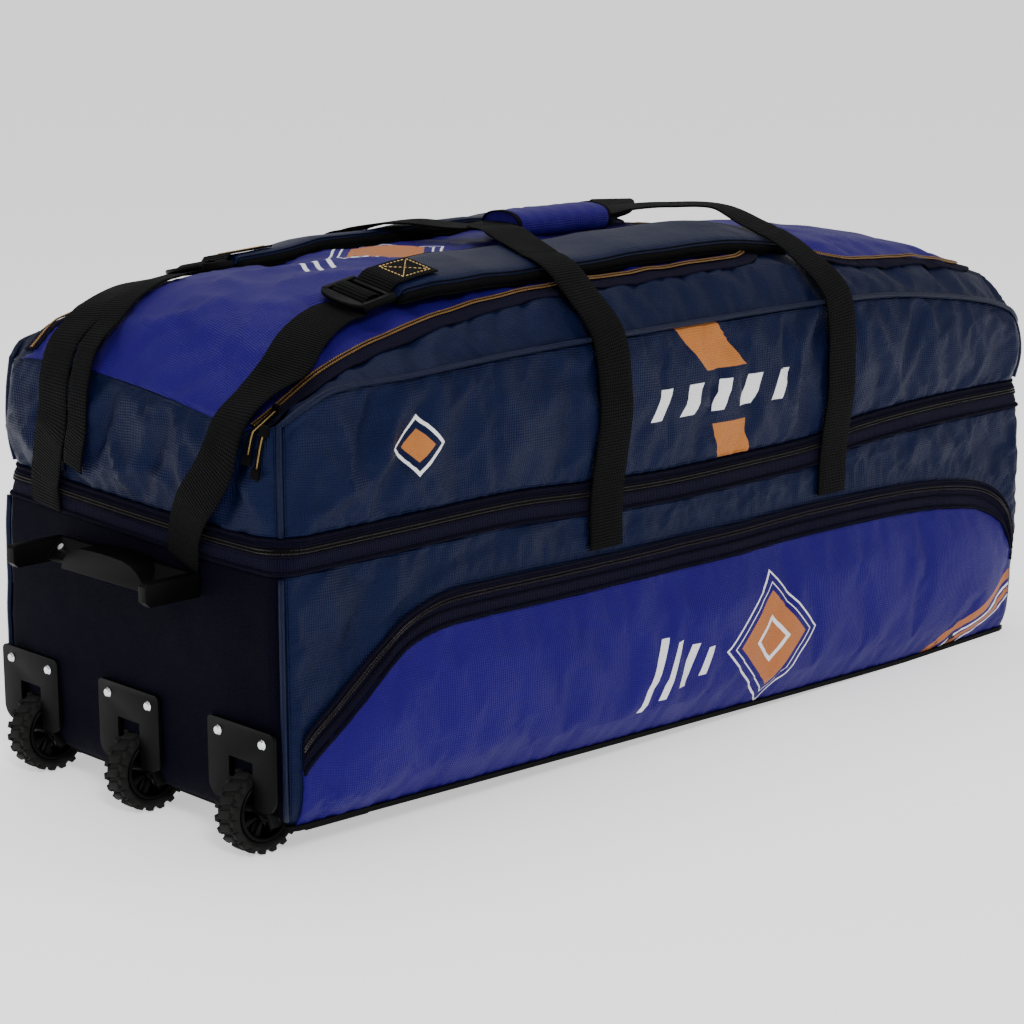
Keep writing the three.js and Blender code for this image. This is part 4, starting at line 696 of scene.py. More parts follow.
LOOKS = {
    "navy": cloth_look("navy_cloth", NAVY),
    "navy_print": cloth_look("navy_cloth_printed", NAVY, artwork=upper_art),
    "royal": cloth_look("royal_cloth", ROYAL, **ROYAL_WEAVE),
    "royal_lid": cloth_look("royal_cloth_lid", ROYAL, artwork=lid_art, **ROYAL_WEAVE),
    "royal_print": cloth_look(
        "royal_cloth_printed", ROYAL, contrast=0.05, rough=(0.36, 0.52), artwork=pocket_art,
    ),
    "cord": cloth_look(
        "piping_cord", rgb(5, 9, 27), period=0.002, rough=(0.2, 0.3), crease=0.001, gloss=0.22,
    ),
    "end": cloth_look(
        "end_cloth", rgb(4, 3, 11), period=0.0026, contrast=0.08, rough=(0.6, 0.8), sheen=0.0,
        crease=0.001, gloss=0.06,
    ),
    "tape": webbing_look("indigo_tape", rgb(11, 9, 30), rib=0.0018),
    "binding": webbing_look("black_binding", rgb(5, 5, 7), rib=0.0014, gloss=0.6),
    "webbing": webbing_look("black_webbing", rgb(5, 5, 6)),
    "gold_coil": coil_look("gold_coil", rgb(176, 132, 74)),
    "dark_coil": coil_look("dark_coil", rgb(70, 62, 62)),
    "thread": thread_look("gold_thread", rgb(205, 170, 105)),
    "plastic": plastic_look("black_plastic", rgb(5, 5, 6)),
    "board": plastic_look("base_plastic", rgb(6, 6, 7), rough=(0.5, 0.7)),
    "rubber": rubber_look("tyre_rubber", rgb(6, 6, 6)),
    "chrome": metal_look("chrome_plate", rgb(222, 222, 226), 0.14),
    "steel": metal_look("dark_steel", rgb(40, 40, 44), 0.35),
}


# Meshes


def to_frame(point):
    return Vector(point) / 1000 + ORIGIN


def placed(name, data):
    """A new object in the scene."""
    made = bpy.data.objects.new(name, data)
    bpy.context.scene.collection.objects.link(made)
    return made


def make_smooth(mesh):
    mesh.polygons.foreach_set("use_smooth", [True] * len(mesh.polygons))


def ring_faces(rings, count):
    """The faces between rings of points that lie one after the other."""
    faces = []
    for i in range(rings - 1):
        for k in range(count):
            a, b = i * count + k, i * count + (k + 1) % count
            faces.append((a, b, b + count, a + count))
    return faces


def end_faces(rings, count):
    """The faces that close the first and the last ring."""
    last = (rings - 1) * count
    return [tuple(reversed(range(count))), tuple(range(last, last + count))]


def make_mesh(name, points, faces, look, uvs=None):
    """A smooth mesh object from points in millimetres; uvs holds one place per point, in metres."""
    mesh = bpy.data.meshes.new(name)
    mesh.from_pydata([to_frame(point) for point in points], [], faces)
    if uvs is not None:
        layer = mesh.uv_layers.new(name="weave")
        for loop in mesh.loops:
            layer.data[loop.index].uv = uvs[loop.vertex_index]
    mesh.materials.append(LOOKS[look])
    make_smooth(mesh)
    return placed(name, mesh)


def grid_mesh(name, grid, look):
    """A sheet through grid[column][row], columns to the right and rows up when seen from outside."""
    rows = len(grid[0])
    points = [point for column in grid for point in column]
    faces = []
    for i in range(len(grid) - 1):
        for j in range(rows - 1):
            faces.append((i * rows + j, (i + 1) * rows + j, (i + 1) * rows + j + 1, i * rows + j + 1))
    uvs = []
    run = 0.0
    middle = rows // 2
    for i, column in enumerate(grid):
        if i > 0:
            run += (column[middle] - grid[i - 1][middle]).length / 1000
        rise = 0.0
        for j, point in enumerate(column):
            if j > 0:
                rise += (point - column[j - 1]).length / 1000
            uvs.append((run, rise))
    return make_mesh(name, points, faces, look, uvs)


def thicken(piece, thickness):
    """Gives a sheet its thickness, inwards."""
    solid = piece.modifiers.new("thickness", "SOLIDIFY")
    solid.thickness = thickness / 1000
    solid.offset = -1
    return piece


def drop_loose(piece):
    """Deletes points that no face uses."""
    work = bmesh.new()
    work.from_mesh(piece.data)
    bmesh.ops.delete(work, geom=[v for v in work.verts if not v.link_faces], context="VERTS")
    work.to_mesh(piece.data)
    work.free()


def settle(piece, slot, *nodes, body="bag"):
    """Puts a finished piece on its body in place of its frame nodes."""
    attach(piece, body)
    if nodes:
        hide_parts(*nodes)


# Cloth


def wall_grid(side, low, high):
    """Points over one side between two heights that vary along it."""
    is_long = SIDES[side][2]
    columns = round((BAG_LENGTH if is_long else BAG_WIDTH) / CLOTH_CELL)
    grid = []
    for i in range(columns + 1):
        around = side + min(SIDE_END, i / columns)
        start, end = low(around), high(around)
        rows = round((SEAM_HEIGHT if end < SEAM_HEIGHT * 1.02 else EDGE_HEIGHT - SEAM_HEIGHT) / CLOTH_CELL)
        grid.append([wall_point(around, mix(start, end, j / rows))[0] for j in range(rows + 1)])
    return grid


def plan_of(around):
    return plan_point(around, UPPER_CORNER)[0]


def floor_line(around):
    return base_height(plan_of(around).x) + 4.3


def band_low(around):
    plan = plan_of(around)
    return seam_height(plan.x, plan.y) - BAND_BELOW


def band_high(around):
    plan = plan_of(around)
    return seam_height(plan.x, plan.y) + BAND_ABOVE


def pocket_line(around):
    return POCKET_HEIGHT * read_rows(POCKET_ROWS, "along", plan_of(around).x / HALF_LENGTH, "height")


def add_walls():
    """The eight walls, as cloth sheets between the base, the middle band and the top's edge."""
    made = {}
    for side, name in enumerate(["front", "far_end", "back", "wheel_end"]):
        lower_look = "end" if name == "wheel_end" else "navy"
        upper_look = "navy_print" if name == "front" else "navy"
        lower = wall_grid(side, floor_line, band_low)
        upper = wall_grid(side, band_high, lambda around: edge_height(around) - 0.6)
        made[f"lower_{name}"] = grid_mesh(f"lower_{name}_cloth", lower, lower_look)
        made[f"upper_{name}"] = grid_mesh(f"upper_{name}_cloth", upper, upper_look)
    return made


def in_lid(x, y, grow=0.0):
    """Which lid a plan point lies in, if any."""
    for name, start, end, corner in [
        ("main_lid", -HALF_LENGTH - 200, MAIN_LID_END, MAIN_LID_CORNER),
        ("end_lid", END_LID_START, END_LID_END, END_LID_CORNER),
    ]:
        over_x = abs(x - (start + end) / 2) - ((end - start) / 2 + grow - corner)
        over_y = abs(y) - (LID_HALF_WIDTH + grow - corner)
        if math.hypot(max(over_x, 0), max(over_y, 0)) + min(max(over_x, over_y), 0) < corner:
            return name
    return None


def crowded_shares(count, crowding):
    """Places from -1 to 1 that crowd towards both ends."""
    evenly = [mix(-1, 1, k / count) for k in range(count + 1)]
    return [mix(t, math.sin(t * math.pi / 2), crowding) for t in evenly]


def top_rows():
    """Places across the top, closer together on its shoulders."""
    return crowded_shares(round(BAG_WIDTH / CLOTH_CELL), 0.75)


def row_reach(y):
    """Half the length of the top at a place across it."""
    end = HALF_LENGTH + END_BOW * (1 - (y / HALF_WIDTH) ** 2)
    over = abs(y) - (HALF_WIDTH - UPPER_CORNER)
    if over <= 0:
        return end
    return end - UPPER_CORNER + math.sqrt(max(0, UPPER_CORNER ** 2 - over ** 2))


def top_grid():
    grid = []
    for share in crowded_shares(round(BAG_LENGTH / CLOTH_CELL), 0.5):
        column = []
        for row in top_rows():
            y = row * HALF_WIDTH * RIM_SHARE
            x = share * row_reach(y) * RIM_SHARE
            y += math.copysign(SIDE_BOW * (1 - (x / HALF_LENGTH) ** 2) * abs(row), row)
            column.append(Vector((x, y, top_height(x, y))))
        grid.append(column)
    return grid


def pin_group(piece, weight):
    """Marks how firmly each point is held while the cloth settles."""
    group = piece.vertex_groups.new(name="held")
    for vertex in piece.data.vertices:
        value = weight((vertex.co - ORIGIN) * 1000)
        if value > 0:
            group.add([vertex.index], value, "REPLACE")


def rim_points(piece):
    """The points along the sheet's edges."""
    counts = {}
    for face in piece.data.polygons:
        for key in face.edge_keys:
            counts[key] = counts.get(key, 0) + 1
    return {i for key, count in counts.items() if count == 1 for i in key}


def settle_cloth(sheets):
    """Blows the sheets out a little with slack in them, so that they crease as filled cloth does."""
    before = {}
    for piece, pressure, slack in sheets:
        group = piece.vertex_groups.get("held") or piece.vertex_groups.new(name="held")
        group.add(sorted(rim_points(piece)), 1.0, "REPLACE")
        before[piece.name] = [vertex.co.copy() for vertex in piece.data.vertices]
        cloth = piece.modifiers.new("cloth", "CLOTH")
        held = cloth.settings
        held.quality = 5
        held.mass = 0.25
        held.tension_stiffness = 25
        held.compression_stiffness = 25
        held.shear_stiffness = 12
        held.bending_stiffness = 0.4
        held.air_damping = 4
        held.vertex_group_mass = "held"
        held.shrink_min = -slack
        held.use_pressure = True
        held.uniform_pressure_force = pressure
        held.effector_weights.gravity = 0
    for step in range(1, SETTLE_STEPS + 1):
        bpy.context.scene.frame_set(step)
    graph = bpy.context.evaluated_depsgraph_get()
    for piece, _, _ in sheets:
        shaped = piece.evaluated_get(graph).data
        for vertex, old in zip(piece.data.vertices, before[piece.name]):
            move = shaped.vertices[vertex.index].co - old
            if move.length > SETTLE_CAP / 1000:
                move.length = SETTLE_CAP / 1000
            vertex.co = old + move
    for piece, _, _ in sheets:
        piece.modifiers.remove(piece.modifiers["cloth"])
    bpy.context.scene.frame_set(1)


def crumple(sheet, low, high, depth):
    """Presses sharp creases into a settled sheet, strongest towards the wheel end and none at its edges."""
    sheet.data.update()
    normals = [vertex.normal.copy() for vertex in sheet.data.vertices]
    for vertex, normal in zip(sheet.data.vertices, normals):
        point = (vertex.co - ORIGIN) * 1000
        room = min(point.z - low(point), high(point) - point.z)
        slanted = Vector((point.x * 0.8 + point.z * 0.5, point.y, point.z * 0.7 - point.x * 0.25))
        ridge = min(1, abs(noise.noise(slanted * 0.014 + Vector((3, 7, 1)))) * 4.5)
        small = min(1, abs(noise.noise(slanted * 0.033 + Vector((8, 2, 5)))) * 4.0)
        strength = mix(0.55, 1.25, smooth(0.5 - point.x / BAG_LENGTH))
        push = (RIDGE_LEVEL - ridge) + 0.35 * (RIDGE_LEVEL - small)
        vertex.co += normal * (push * depth * strength * smooth(room / CREASE_FADE) / 1000)


def add_top():
    """The top with its two lids, cut from one sheet after the cloth has settled."""
    grid = top_grid()
    sheet = grid_mesh("top_cloth", grid, "navy")

    def zip_weight(point):
        near = in_lid(point.x, point.y, 7) != in_lid(point.x, point.y, -7)
        return 0.5 if near else 0.0

    pin_group(sheet, zip_weight)
    return sheet


def upper_low(point):
    return band_high(around_of(point.x, point.y))


def upper_high(point):
    return edge_height(around_of(point.x, point.y))


def lower_low(point):
    return base_height(point.x)


def lower_high(point):
    return band_low(around_of(point.x, point.y))


def zip_room(point):
    """How far a place on the top is from the nearest zip or edge."""
    edge = outline_inset(point.x, point.y)
    main = min(abs(abs(point.y) - LID_HALF_WIDTH), abs(point.x - MAIN_LID_END), abs(point.x - END_LID_START))
    return min(edge, main, abs(point.x - END_LID_END))


def hold_behind_pocket(wall):
    """Keeps the front wall in place behind the pocket and its band."""

    def weight(point):
        around = around_of(point.x, -HALF_WIDTH)
        return 1 - smooth((point.z - pocket_line(around) - POCKET_BAND_ABOVE - 2) / 18)

    pin_group(wall, weight)


def split_top(sheet):
    """Cuts the settled top into the navy surround and the two lids, under the zips."""
    points = [(vertex.co - ORIGIN) * 1000 for vertex in sheet.data.vertices]
    source = sheet.data.uv_layers["weave"].data
    uvs = [None] * len(points)
    for loop in sheet.data.loops:
        uvs[loop.vertex_index] = tuple(source[loop.index].uv)
    groups = {"top_panel": [], "main_lid": [], "end_lid": []}
    for face in sheet.data.polygons:
        corners = tuple(face.vertices)
        middle = sum((points[k] for k in corners), Vector()) / len(corners)
        groups[in_lid(middle.x, middle.y) or "top_panel"].append(corners)
    bpy.data.objects.remove(sheet)
    for node, faces in groups.items():
        look = {"top_panel": "navy", "main_lid": "royal_lid", "end_lid": "royal"}[node]
        piece = make_mesh(f"{node}_cloth", points, faces, look, uvs)
        drop_loose(piece)
        thicken(piece, CLOTH)
        settle(piece, "navy_cloth" if node == "top_panel" else "royal_cloth", node)


def pocket_grid():
    """The pocket's puffed front."""
    columns = round(BAG_LENGTH * (1 - 2 * POCKET_INSET) / CLOTH_CELL)
    rows = 22
    grid = []
    for i in range(columns + 1):
        around = mix(POCKET_INSET, 1 - POCKET_INSET, i / columns)
        low, high = floor_line(around) - 2, pocket_line(around) - POCKET_BAND_BELOW + 3
        column = []
        for j in range(rows + 1):
            at, away = wall_point(around, mix(low, high, j / rows))
            share = j / rows
            ends = smooth(min(around, 1 - around) / 0.09)
            edges = math.sin(math.pi * min(0.5, share * 1.6) ** 0.8) if share < 0.32 else 1
            puff = smooth(share / 0.22) * smooth((1 - share) / 0.3)
            column.append(at + away * (1.4 + POCKET_DEPTH * ends * puff * min(1, edges)))
        grid.append(column)
    return grid


# Bands along the cloth


def skin_of(pieces):
    """A search tree over the outer faces of several pieces, in millimetres."""
    points = []
    faces = []
    for piece in pieces:
        offset = len(points)
        points += [(vertex.co - ORIGIN) * 1000 for vertex in piece.data.vertices]
        faces += [tuple(offset + k for k in face.vertices) for face in piece.data.polygons]
    return BVHTree.FromPolygons(points, faces)


def seat_height(skins, at, up):
    """How high the topmost skin lies over a point, along the point's up direction."""
    best = -1e9
    for skin in skins:
        hit = skin.ray_cast(at + up * SEARCH, -up, 2 * SEARCH)
        if hit[0] is not None:
            best = max(best, SEARCH - hit[3])
    return best


Row = namedtuple("Row", "at up lift least")


def row(x, y, z, up=(0, 0, 1), lift=0.0, least=-40.0):
    return Row(Vector((x, y, z)), Vector(up).normalized(), lift, least)


def top_row(x, y, lift=0.0):
    return row(x, y, crown_height(x, y), (0, y / 500, 1), lift)


def curve_point(rows, place):
    """A smooth curve through the rows' places."""
    last = len(rows) - 1
    index = min(last - 1, int(place))
    t = place - index
    p0, p1 = rows[max(0, index - 1)].at, rows[index].at
    p2, p3 = rows[index + 1].at, rows[min(last, index + 2)].at
    low = (p2 - p0) * (p2 - p1).length / max(1e-6, (p1 - p0).length + (p2 - p1).length)
    high = (p3 - p1) * (p2 - p1).length / max(1e-6, (p3 - p2).length + (p2 - p1).length)
    if index == 0:
        low = p2 - p1
    if index == last - 1:
        high = p2 - p1
    t2, t3 = t * t, t * t * t
    return p1 * (2 * t3 - 3 * t2 + 1) + low * (t3 - 2 * t2 + t) + p2 * (3 * t2 - 2 * t3) + high * (t3 - t2)


def seat_route(rows, width, skins, clearance=SEAT, cell=STRAP_CELL, taut=14):
    """Stations along a route, laid on the skins over the band's whole width and pulled taut."""
    places = []
    for index in range(len(rows) - 1):
        count = max(2, round((rows[index + 1].at - rows[index].at).length / cell))
        places += [index + k / count for k in range(count)]
    places.append(len(rows) - 1)
    line = [curve_point(rows, place) for place in places]
    stations = []
    for k, place in enumerate(places):
        index = min(len(rows) - 2, int(place))
        along = place - index
        tangent = (line[min(len(line) - 1, k + 1)] - line[max(0, k - 1)]).normalized()
        up = rows[index].up.lerp(rows[index + 1].up, along)
        up = (up - tangent * up.dot(tangent)).normalized()
        side = up.cross(tangent)
        drops = [seat_height(skins, line[k] + side * (share * width / 2), up) for share in STRAP_PROBES]
        lift = mix(rows[index].lift, rows[index + 1].lift, along)
        least = mix(rows[index].least, rows[index + 1].least, along)
        stations.append([line[k], up, side, max(least, max(drops) + clearance + lift)])
    ground = [station[3] for station in stations]
    ground = [max(ground[max(0, k - 1):k + 2]) for k in range(len(ground))]
    rises = list(ground)
    for _ in range(taut):
        for k in range(1, len(rises) - 1):
            rises[k] = max(ground[k], (rises[k - 1] + rises[k + 1]) / 2)
    return [(at + up * rises[k], up, side) for k, (at, up, side, _) in enumerate(stations)]


def band_section(width, thickness):
    """A webbing's section: flat with rounded edges, as places across and up."""
    half = width / 2
    edge = thickness / 2
    return [
        (-half + edge, 0), (0, 0), (half - edge, 0), (half, edge * 0.6), (half, thickness - edge * 0.6),
        (half - edge, thickness), (half * 0.5, thickness), (0, thickness), (-half * 0.5, thickness),
        (-half + edge, thickness), (-half, thickness - edge * 0.6), (-half, edge * 0.6),
    ]


def pad_section(width, thickness):
    """A padded strap's section: crowned on top, flatter below."""
    section = []
    count = 20
    for k in range(count):
        angle = 2 * math.pi * (k + 0.5) / count
        across = math.copysign(abs(math.cos(angle)) ** 0.62, math.cos(angle))
        rise = math.copysign(abs(math.sin(angle)) ** 0.75, math.sin(angle))
        section.append((across * width / 2, thickness / 2 + rise * thickness / 2))
    return section[count // 2:] + section[:count // 2]


def sweep(name, stations, section, look, caps=True, sizes=None):
    """A closed band of one section along stations; sizes holds its width and height share at each."""
    count = len(section)
    points = []
    uvs = []
    run = 0.0
    for k, (at, up, side) in enumerate(stations):
        if k > 0:
            run += (at - stations[k - 1][0]).length / 1000
        wide, tall = sizes[k] if sizes else (1, 1)
        for across, rise in section:
            points.append(at + side * across * wide + up * rise * tall)
            uvs.append((run, across / 1000))
    faces = ring_faces(len(stations), count)
    if caps:
        faces += end_faces(len(stations), count)
    return make_mesh(name, points, faces, look, uvs)


def drape(name, stations, low, high, thickness, skins, look):
    """A thin tape beside a line, each of its threads laid on the skins."""
    count = 6
    shares = [mix(low, high, j / (count - 1)) for j in range(count)]
    drops = [[seat_height(skins, at + side * share, up) for share in shares] for at, up, side in stations]
    points = []
    uvs = []
    run = 0.0
    for k, (at, up, side) in enumerate(stations):
        if k > 0:
            run += (at - stations[k - 1][0]).length / 1000
        heights = [max(column) for column in zip(*drops[max(0, k - 2):k + 3])]
        laid = [at + side * share + up * min(9, height) for share, height in zip(shares, heights)]
        tall = [thickness * 0.8, *[thickness] * (count - 2), thickness * 0.8]
        over = [spot + up * height for spot, height in zip(laid, tall)]
        under = [spot - up * 0.6 for spot in reversed(laid)]
        points += over[::-1] + under[::-1]
        uvs += [(run, mix(low, high, j / (count - 1)) / 1000) for j in range(2 * count)]
    faces = ring_faces(len(stations), 2 * count) + end_faces(len(stations), 2 * count)
    return make_mesh(name, points, faces, look, uvs)


def shifted(stations, across, rise=0.0):
    """The same stations moved sideways and up."""
    return [(at + side * across + up * rise, up, side) for at, up, side in stations]


def lid_line(start, end, corner, reach, closed):
    """The places along a lid's zip."""
    first = start + (corner if closed else 0)
    places = []

    def arc(cx, cy, begin):
        for k in range(9):
            angle = begin + math.pi / 2 * k / 8
            places.append((cx + corner * math.cos(angle), cy + corner * math.sin(angle)))

    steps = round((end - corner - first) / 25)
    places += [(mix(first, end - corner, k / steps), -reach) for k in range(steps)]
    arc(end - corner, -reach + corner, -math.pi / 2)
    rise = round(2 * (reach - corner) / 25)
    places += [(end, mix(-reach + corner, reach - corner, k / rise)) for k in range(1, rise)]
    arc(end - corner, reach - corner, 0)
    places += [(mix(end - corner, first, k / steps), reach) for k in range(1, steps + 1)]
    if closed:
        arc(start + corner, reach - corner, math.pi / 2)
        places += [(start, mix(reach - corner, -reach + corner, k / rise)) for k in range(1, rise)]
        arc(start + corner, -reach + corner, math.pi)
    return places


def add_lid_zips(skins):
    """Gold coils round the lids, each on an indigo tape that lies towards the outside."""
    lids = [
        ("main", -HALF_LENGTH + 8, MAIN_LID_END, MAIN_LID_CORNER, False),
        ("end", END_LID_START, END_LID_END, END_LID_CORNER, True),
    ]
    for name, start, end, corner, closed in lids:
        rows = []
        for x, y in lid_line(start, end, corner, LID_HALF_WIDTH, closed):
            down = max(0, (-HALF_LENGTH + SHOULDER - x) / SHOULDER)
            rows.append(row(x, y, top_height(x, y), (-1.2 * down, y / 300, 1)))
        line = [spot for k, spot in enumerate(rows) if k == 0 or (spot.at - rows[k - 1].at).length > 0.5]
        stations = seat_route(line, 8, skins, 0.2, taut=3)
        tape = drape(
            f"{name}_zip_tape", stations, -ZIP_TAPE_OUT, ZIP_TAPE_IN, ZIP_TAPE_THICKNESS, skins, "tape",
        )
        for part, across in [("inner", TEETH_IN), ("outer", TEETH_OUT)]:
            raised = shifted(stations, across, ZIP_TAPE_THICKNESS)
            teeth = sweep(f"{name}_zip_{part}_teeth", raised, band_section(1.4, 1.2), "gold_coil")
            settle(teeth, "gold_zip")
        middle = shifted(stations, (TEETH_IN + TEETH_OUT) / 2, 1.3)
        coil = sweep(f"{name}_zip_coil", middle, band_section(3.4, 1.0), "binding")
        settle(tape, "indigo_tape")
        settle(coil, "gold_zip", f"{name}_zip")


def band_places(span, cell):
    """Even places round the outline, counted in sides."""
    sides = range(math.floor(span[0]), math.ceil(span[1]))
    places = []
    for side in sides:
        count = round((BAG_LENGTH if SIDES[side][2] else BAG_WIDTH) / cell)
        start, end = max(side, span[0]), min(side + 1, span[1])
        places += [mix(start, end, k / count) for k in range(count)]
    return places + [min(3 + SIDE_END, span[1])]


def wall_band(name, look, low, high, stand, thickness, span=(0, 4)):
    """A flat band on the walls between two height lines."""
    outer = []
    for around in band_places(span, CLOTH_CELL):
        faces = [wall_point(around, mix(low(around), high(around), j / 4)) for j in range(5)]
        outer.append([at + away * stand for at, away in faces])
    piece = grid_mesh(name, outer, look)
    return thicken(piece, thickness)


def line_band(name, look, height, span, stand, width, thickness):
    """A narrow band that follows a height line on the walls."""
    is_ring = span[1] - span[0] > 3
    places = []
    for around in band_places(span, STRAP_CELL):
        at, away = wall_point(around, height(around))
        places.append((at + away * stand, away))
    count = len(places) - 1
    if is_ring:
        places[-1] = places[0]
    stations = []
    for k, (at, away) in enumerate(places):
        before = places[k - 1][0] if k > 0 else (places[-2][0] if is_ring else at)
        after = places[k + 1][0] if k < count else (places[1][0] if is_ring else at)
        tangent = (after - before).normalized()
        up = (away - tangent * away.dot(tangent)).normalized()
        stations.append((at, up, up.cross(tangent)))
    return sweep(name, stations, band_section(width, thickness), look, caps=not is_ring)


def add_mid_band():
    """The band between the compartments: tape, a coil with two rows of teeth, and four welts."""
    tape = wall_band("mid_band_tape", "tape", band_low, band_high, 0.6, 1.4)
    settle(tape, "indigo_tape", "mid_band")

    def seam(offset):
        return lambda around: seam_height(*plan_of(around)) + offset

    coil = line_band("mid_zip_coil", "binding", seam(0), (0, 4), 0.9, 5, 1.7)
    settle(coil, "dark_steel", "mid_zip")
    for name, offset in [("upper", 1.3), ("lower", -1.3)]:
        teeth = line_band(f"mid_zip_{name}_teeth", "dark_coil", seam(offset), (0, 4), 1.1, 1.1, 1.9)
        settle(teeth, "dark_steel")
    for name, offset in [("upper", 8.2), ("lid", 3.4), ("flap", -3.4), ("lower", -16.2)]:
        welt = line_band(f"mid_band_{name}_welt", "tape", seam(offset), (0, 4), 0.6, 2.6, 1.9)
        settle(welt, "indigo_tape")


def add_pocket():
    """The pocket's zip band, with two rows of teeth and three welts."""
    span = (POCKET_INSET, 1 - POCKET_INSET)

    def line(offset):
        return lambda around: pocket_line(around) + offset

    low, high = line(-POCKET_BAND_BELOW), line(POCKET_BAND_ABOVE)
    band = wall_band("pocket_zip_band", "tape", low, high, 1.6, 1.2, span)
    settle(band, "indigo_tape", "pocket_zip")
    for name, offset in [("upper", 0.2), ("lower", -2.4)]:
        teeth = line_band(f"pocket_zip_{name}_teeth", "dark_coil", line(offset), span, 2.2, 1.1, 1.5)
        settle(teeth, "dark_steel")
    welts = [("upper", 5.2, 2.8), ("lower", -POCKET_BAND_BELOW + 1, 3.2), ("middle", -9, 2.2)]
    for name, offset, width in welts:
        welt = line_band(f"pocket_{name}_welt", "tape", line(offset), span, 1.7, width, 1.8)
        settle(welt, "indigo_tape")


def piping(name, faces, node):
    """A covered cord along wall places."""
    stations = []
    for k, (at, away) in enumerate(faces):
        before = faces[max(0, k - 1)][0]
        after = faces[min(len(faces) - 1, k + 1)][0]
        tangent = (after - before).normalized()
        up = (away - tangent * away.dot(tangent)).normalized()
        stations.append((at + away * PIPING_STAND, up, up.cross(tangent)))
    turns = [2 * math.pi * k / 10 for k in range(10)]
    section = [(PIPING_RADIUS * math.cos(turn), PIPING_RADIUS * math.sin(turn)) for turn in turns]
    settle(sweep(name, stations, section, "cord"), "navy_cloth", node)


def add_piping():
    """Piping round the upper long walls and up the lower corners at the wheel end."""
    for name, side in [("front", 0), ("back", 2)]:
        edge = [side + mix(0.0, SIDE_END, k / 170) for k in range(171)]
        rise = [mix(0, 1, k / 14) for k in range(14)]
        up = [wall_point(side, mix(band_high(side) + 2, edge_height(side), t)) for t in rise]
        end = side + SIDE_END
        down = [wall_point(end, mix(band_high(end) + 2, edge_height(end), t)) for t in reversed(rise)]
        top = [wall_point(around, edge_height(around)) for around in edge]
        piping(f"upper_{name}_piping", up + top + down, f"piping_{name}")
    for name, around in [("near", 0.0), ("far", 3.0)]:
        low = floor_line(around) + 6
        faces = [wall_point(around, mix(low, band_low(around) - 2, k / 30)) for k in range(31)]
        piping(f"corner_{name}_piping", faces, f"corner_piping_{name}")


# Straps


def end_shares(stations, taper, narrow):
    """How wide and thick a pad is at each station: narrower and rounded off towards its ends."""
    runs = [0.0]
    for before, after in zip(stations, stations[1:]):
        runs.append(runs[-1] + (after[0] - before[0]).length)
    shares = []
    for run in runs:
        near_end = min(run, runs[-1] - run)
        wide = mix(narrow, 1, smooth(near_end / taper))
        tip = math.sqrt(max(0.0, 1 - (1 - min(1, near_end / 7)) ** 2))
        shares.append((wide * mix(0.86, 1, tip), mix(0.35, 1, tip)))
    return shares


def add_pads(skins):
    """The padded shoulder straps with bound edges, webbing tabs and box stitching."""
    made = {}
    for name, side in [("near", -1), ("far", 1)]:
        across = side * PAD_ACROSS
        shares = [(0, 0), (0.2, 1.5), (0.5, 1.5), (0.75, 1), (1, 0)]
        rows = [top_row(mix(PAD_START, PAD_END, share), across, lift) for share, lift in shares]
        stations = seat_route(rows, PAD_WIDTH, skins)
        sizes = end_shares(stations, 70, 0.76)
        section = pad_section(PAD_WIDTH, PAD_THICKNESS)
        pad = sweep(f"shoulder_pad_{name}_cover", stations, section, "navy", sizes=sizes)
        settle(pad, "navy_cloth", f"shoulder_pad_{name}")
        for edge in (-1, 1):
            line = [
                (at + out * edge * (PAD_WIDTH / 2 * wide - 1.5) - up * 3, up, out)
                for (at, up, out), (wide, _) in zip(stations, sizes)
            ]
            bound = sweep(
                f"shoulder_pad_{name}_binding_{'ab'[edge > 0]}", line, band_section(6, 11.4), "binding",
                sizes=[(1, tall) for _, tall in sizes],
            )
            settle(bound, "black_webbing")
        tab_rows = [
            top_row(PAD_START - 12, across, 1.5), top_row(PAD_START - 4, across, 1.5),
            top_row(PAD_START + 8, across), top_row(PAD_START + 2 + PATCH_LENGTH, across),
        ]
        tab_line = seat_route(tab_rows, WEBBING * 0.8, [*skins, skin_of([pad])], 0.2, taut=6)
        patch = sweep(f"pad_patch_{name}_tab", tab_line, band_section(WEBBING, WEBBING_THICKNESS), "webbing")
        settle(patch, "black_webbing", f"pad_patch_{name}")
        add_box_stitch(name, [station for station in tab_line if station[0].x > PAD_START + 4])
        made[name] = pad
    return made


def stitch_run(points, ups, length=2.6, gap=1.2, radius=0.45):
    """Points and faces of a row of short thread lengths along a line."""
    verts = []
    faces = []
    for (start, end), up in zip(zip(points, points[1:]), ups):
        span = (end - start).length
        tangent = (end - start).normalized()
        side = up.cross(tangent)
        count = max(1, int((span + gap) / (length + gap)))
        for k in range(count):
            begin = start + tangent * (k * (length + gap))
            first = len(verts)
            for t, size in [(0, 0.4), (0.2, 1), (0.8, 1), (1, 0.4)]:
                for angle in range(6):
                    turn = angle * math.pi / 3
                    spot = side * math.cos(turn) + up * (math.sin(turn) + 0.4)
                    verts.append(begin + tangent * (t * length) + spot * radius * size)
            for ring in range(3):
                for angle in range(6):
                    a, b = first + ring * 6 + angle, first + ring * 6 + (angle + 1) % 6
                    faces.append((a, b, b + 6, a + 6))
            faces.append(tuple(first + 5 - angle for angle in range(6)))
            faces.append(tuple(first + 18 + angle for angle in range(6)))
    return verts, faces


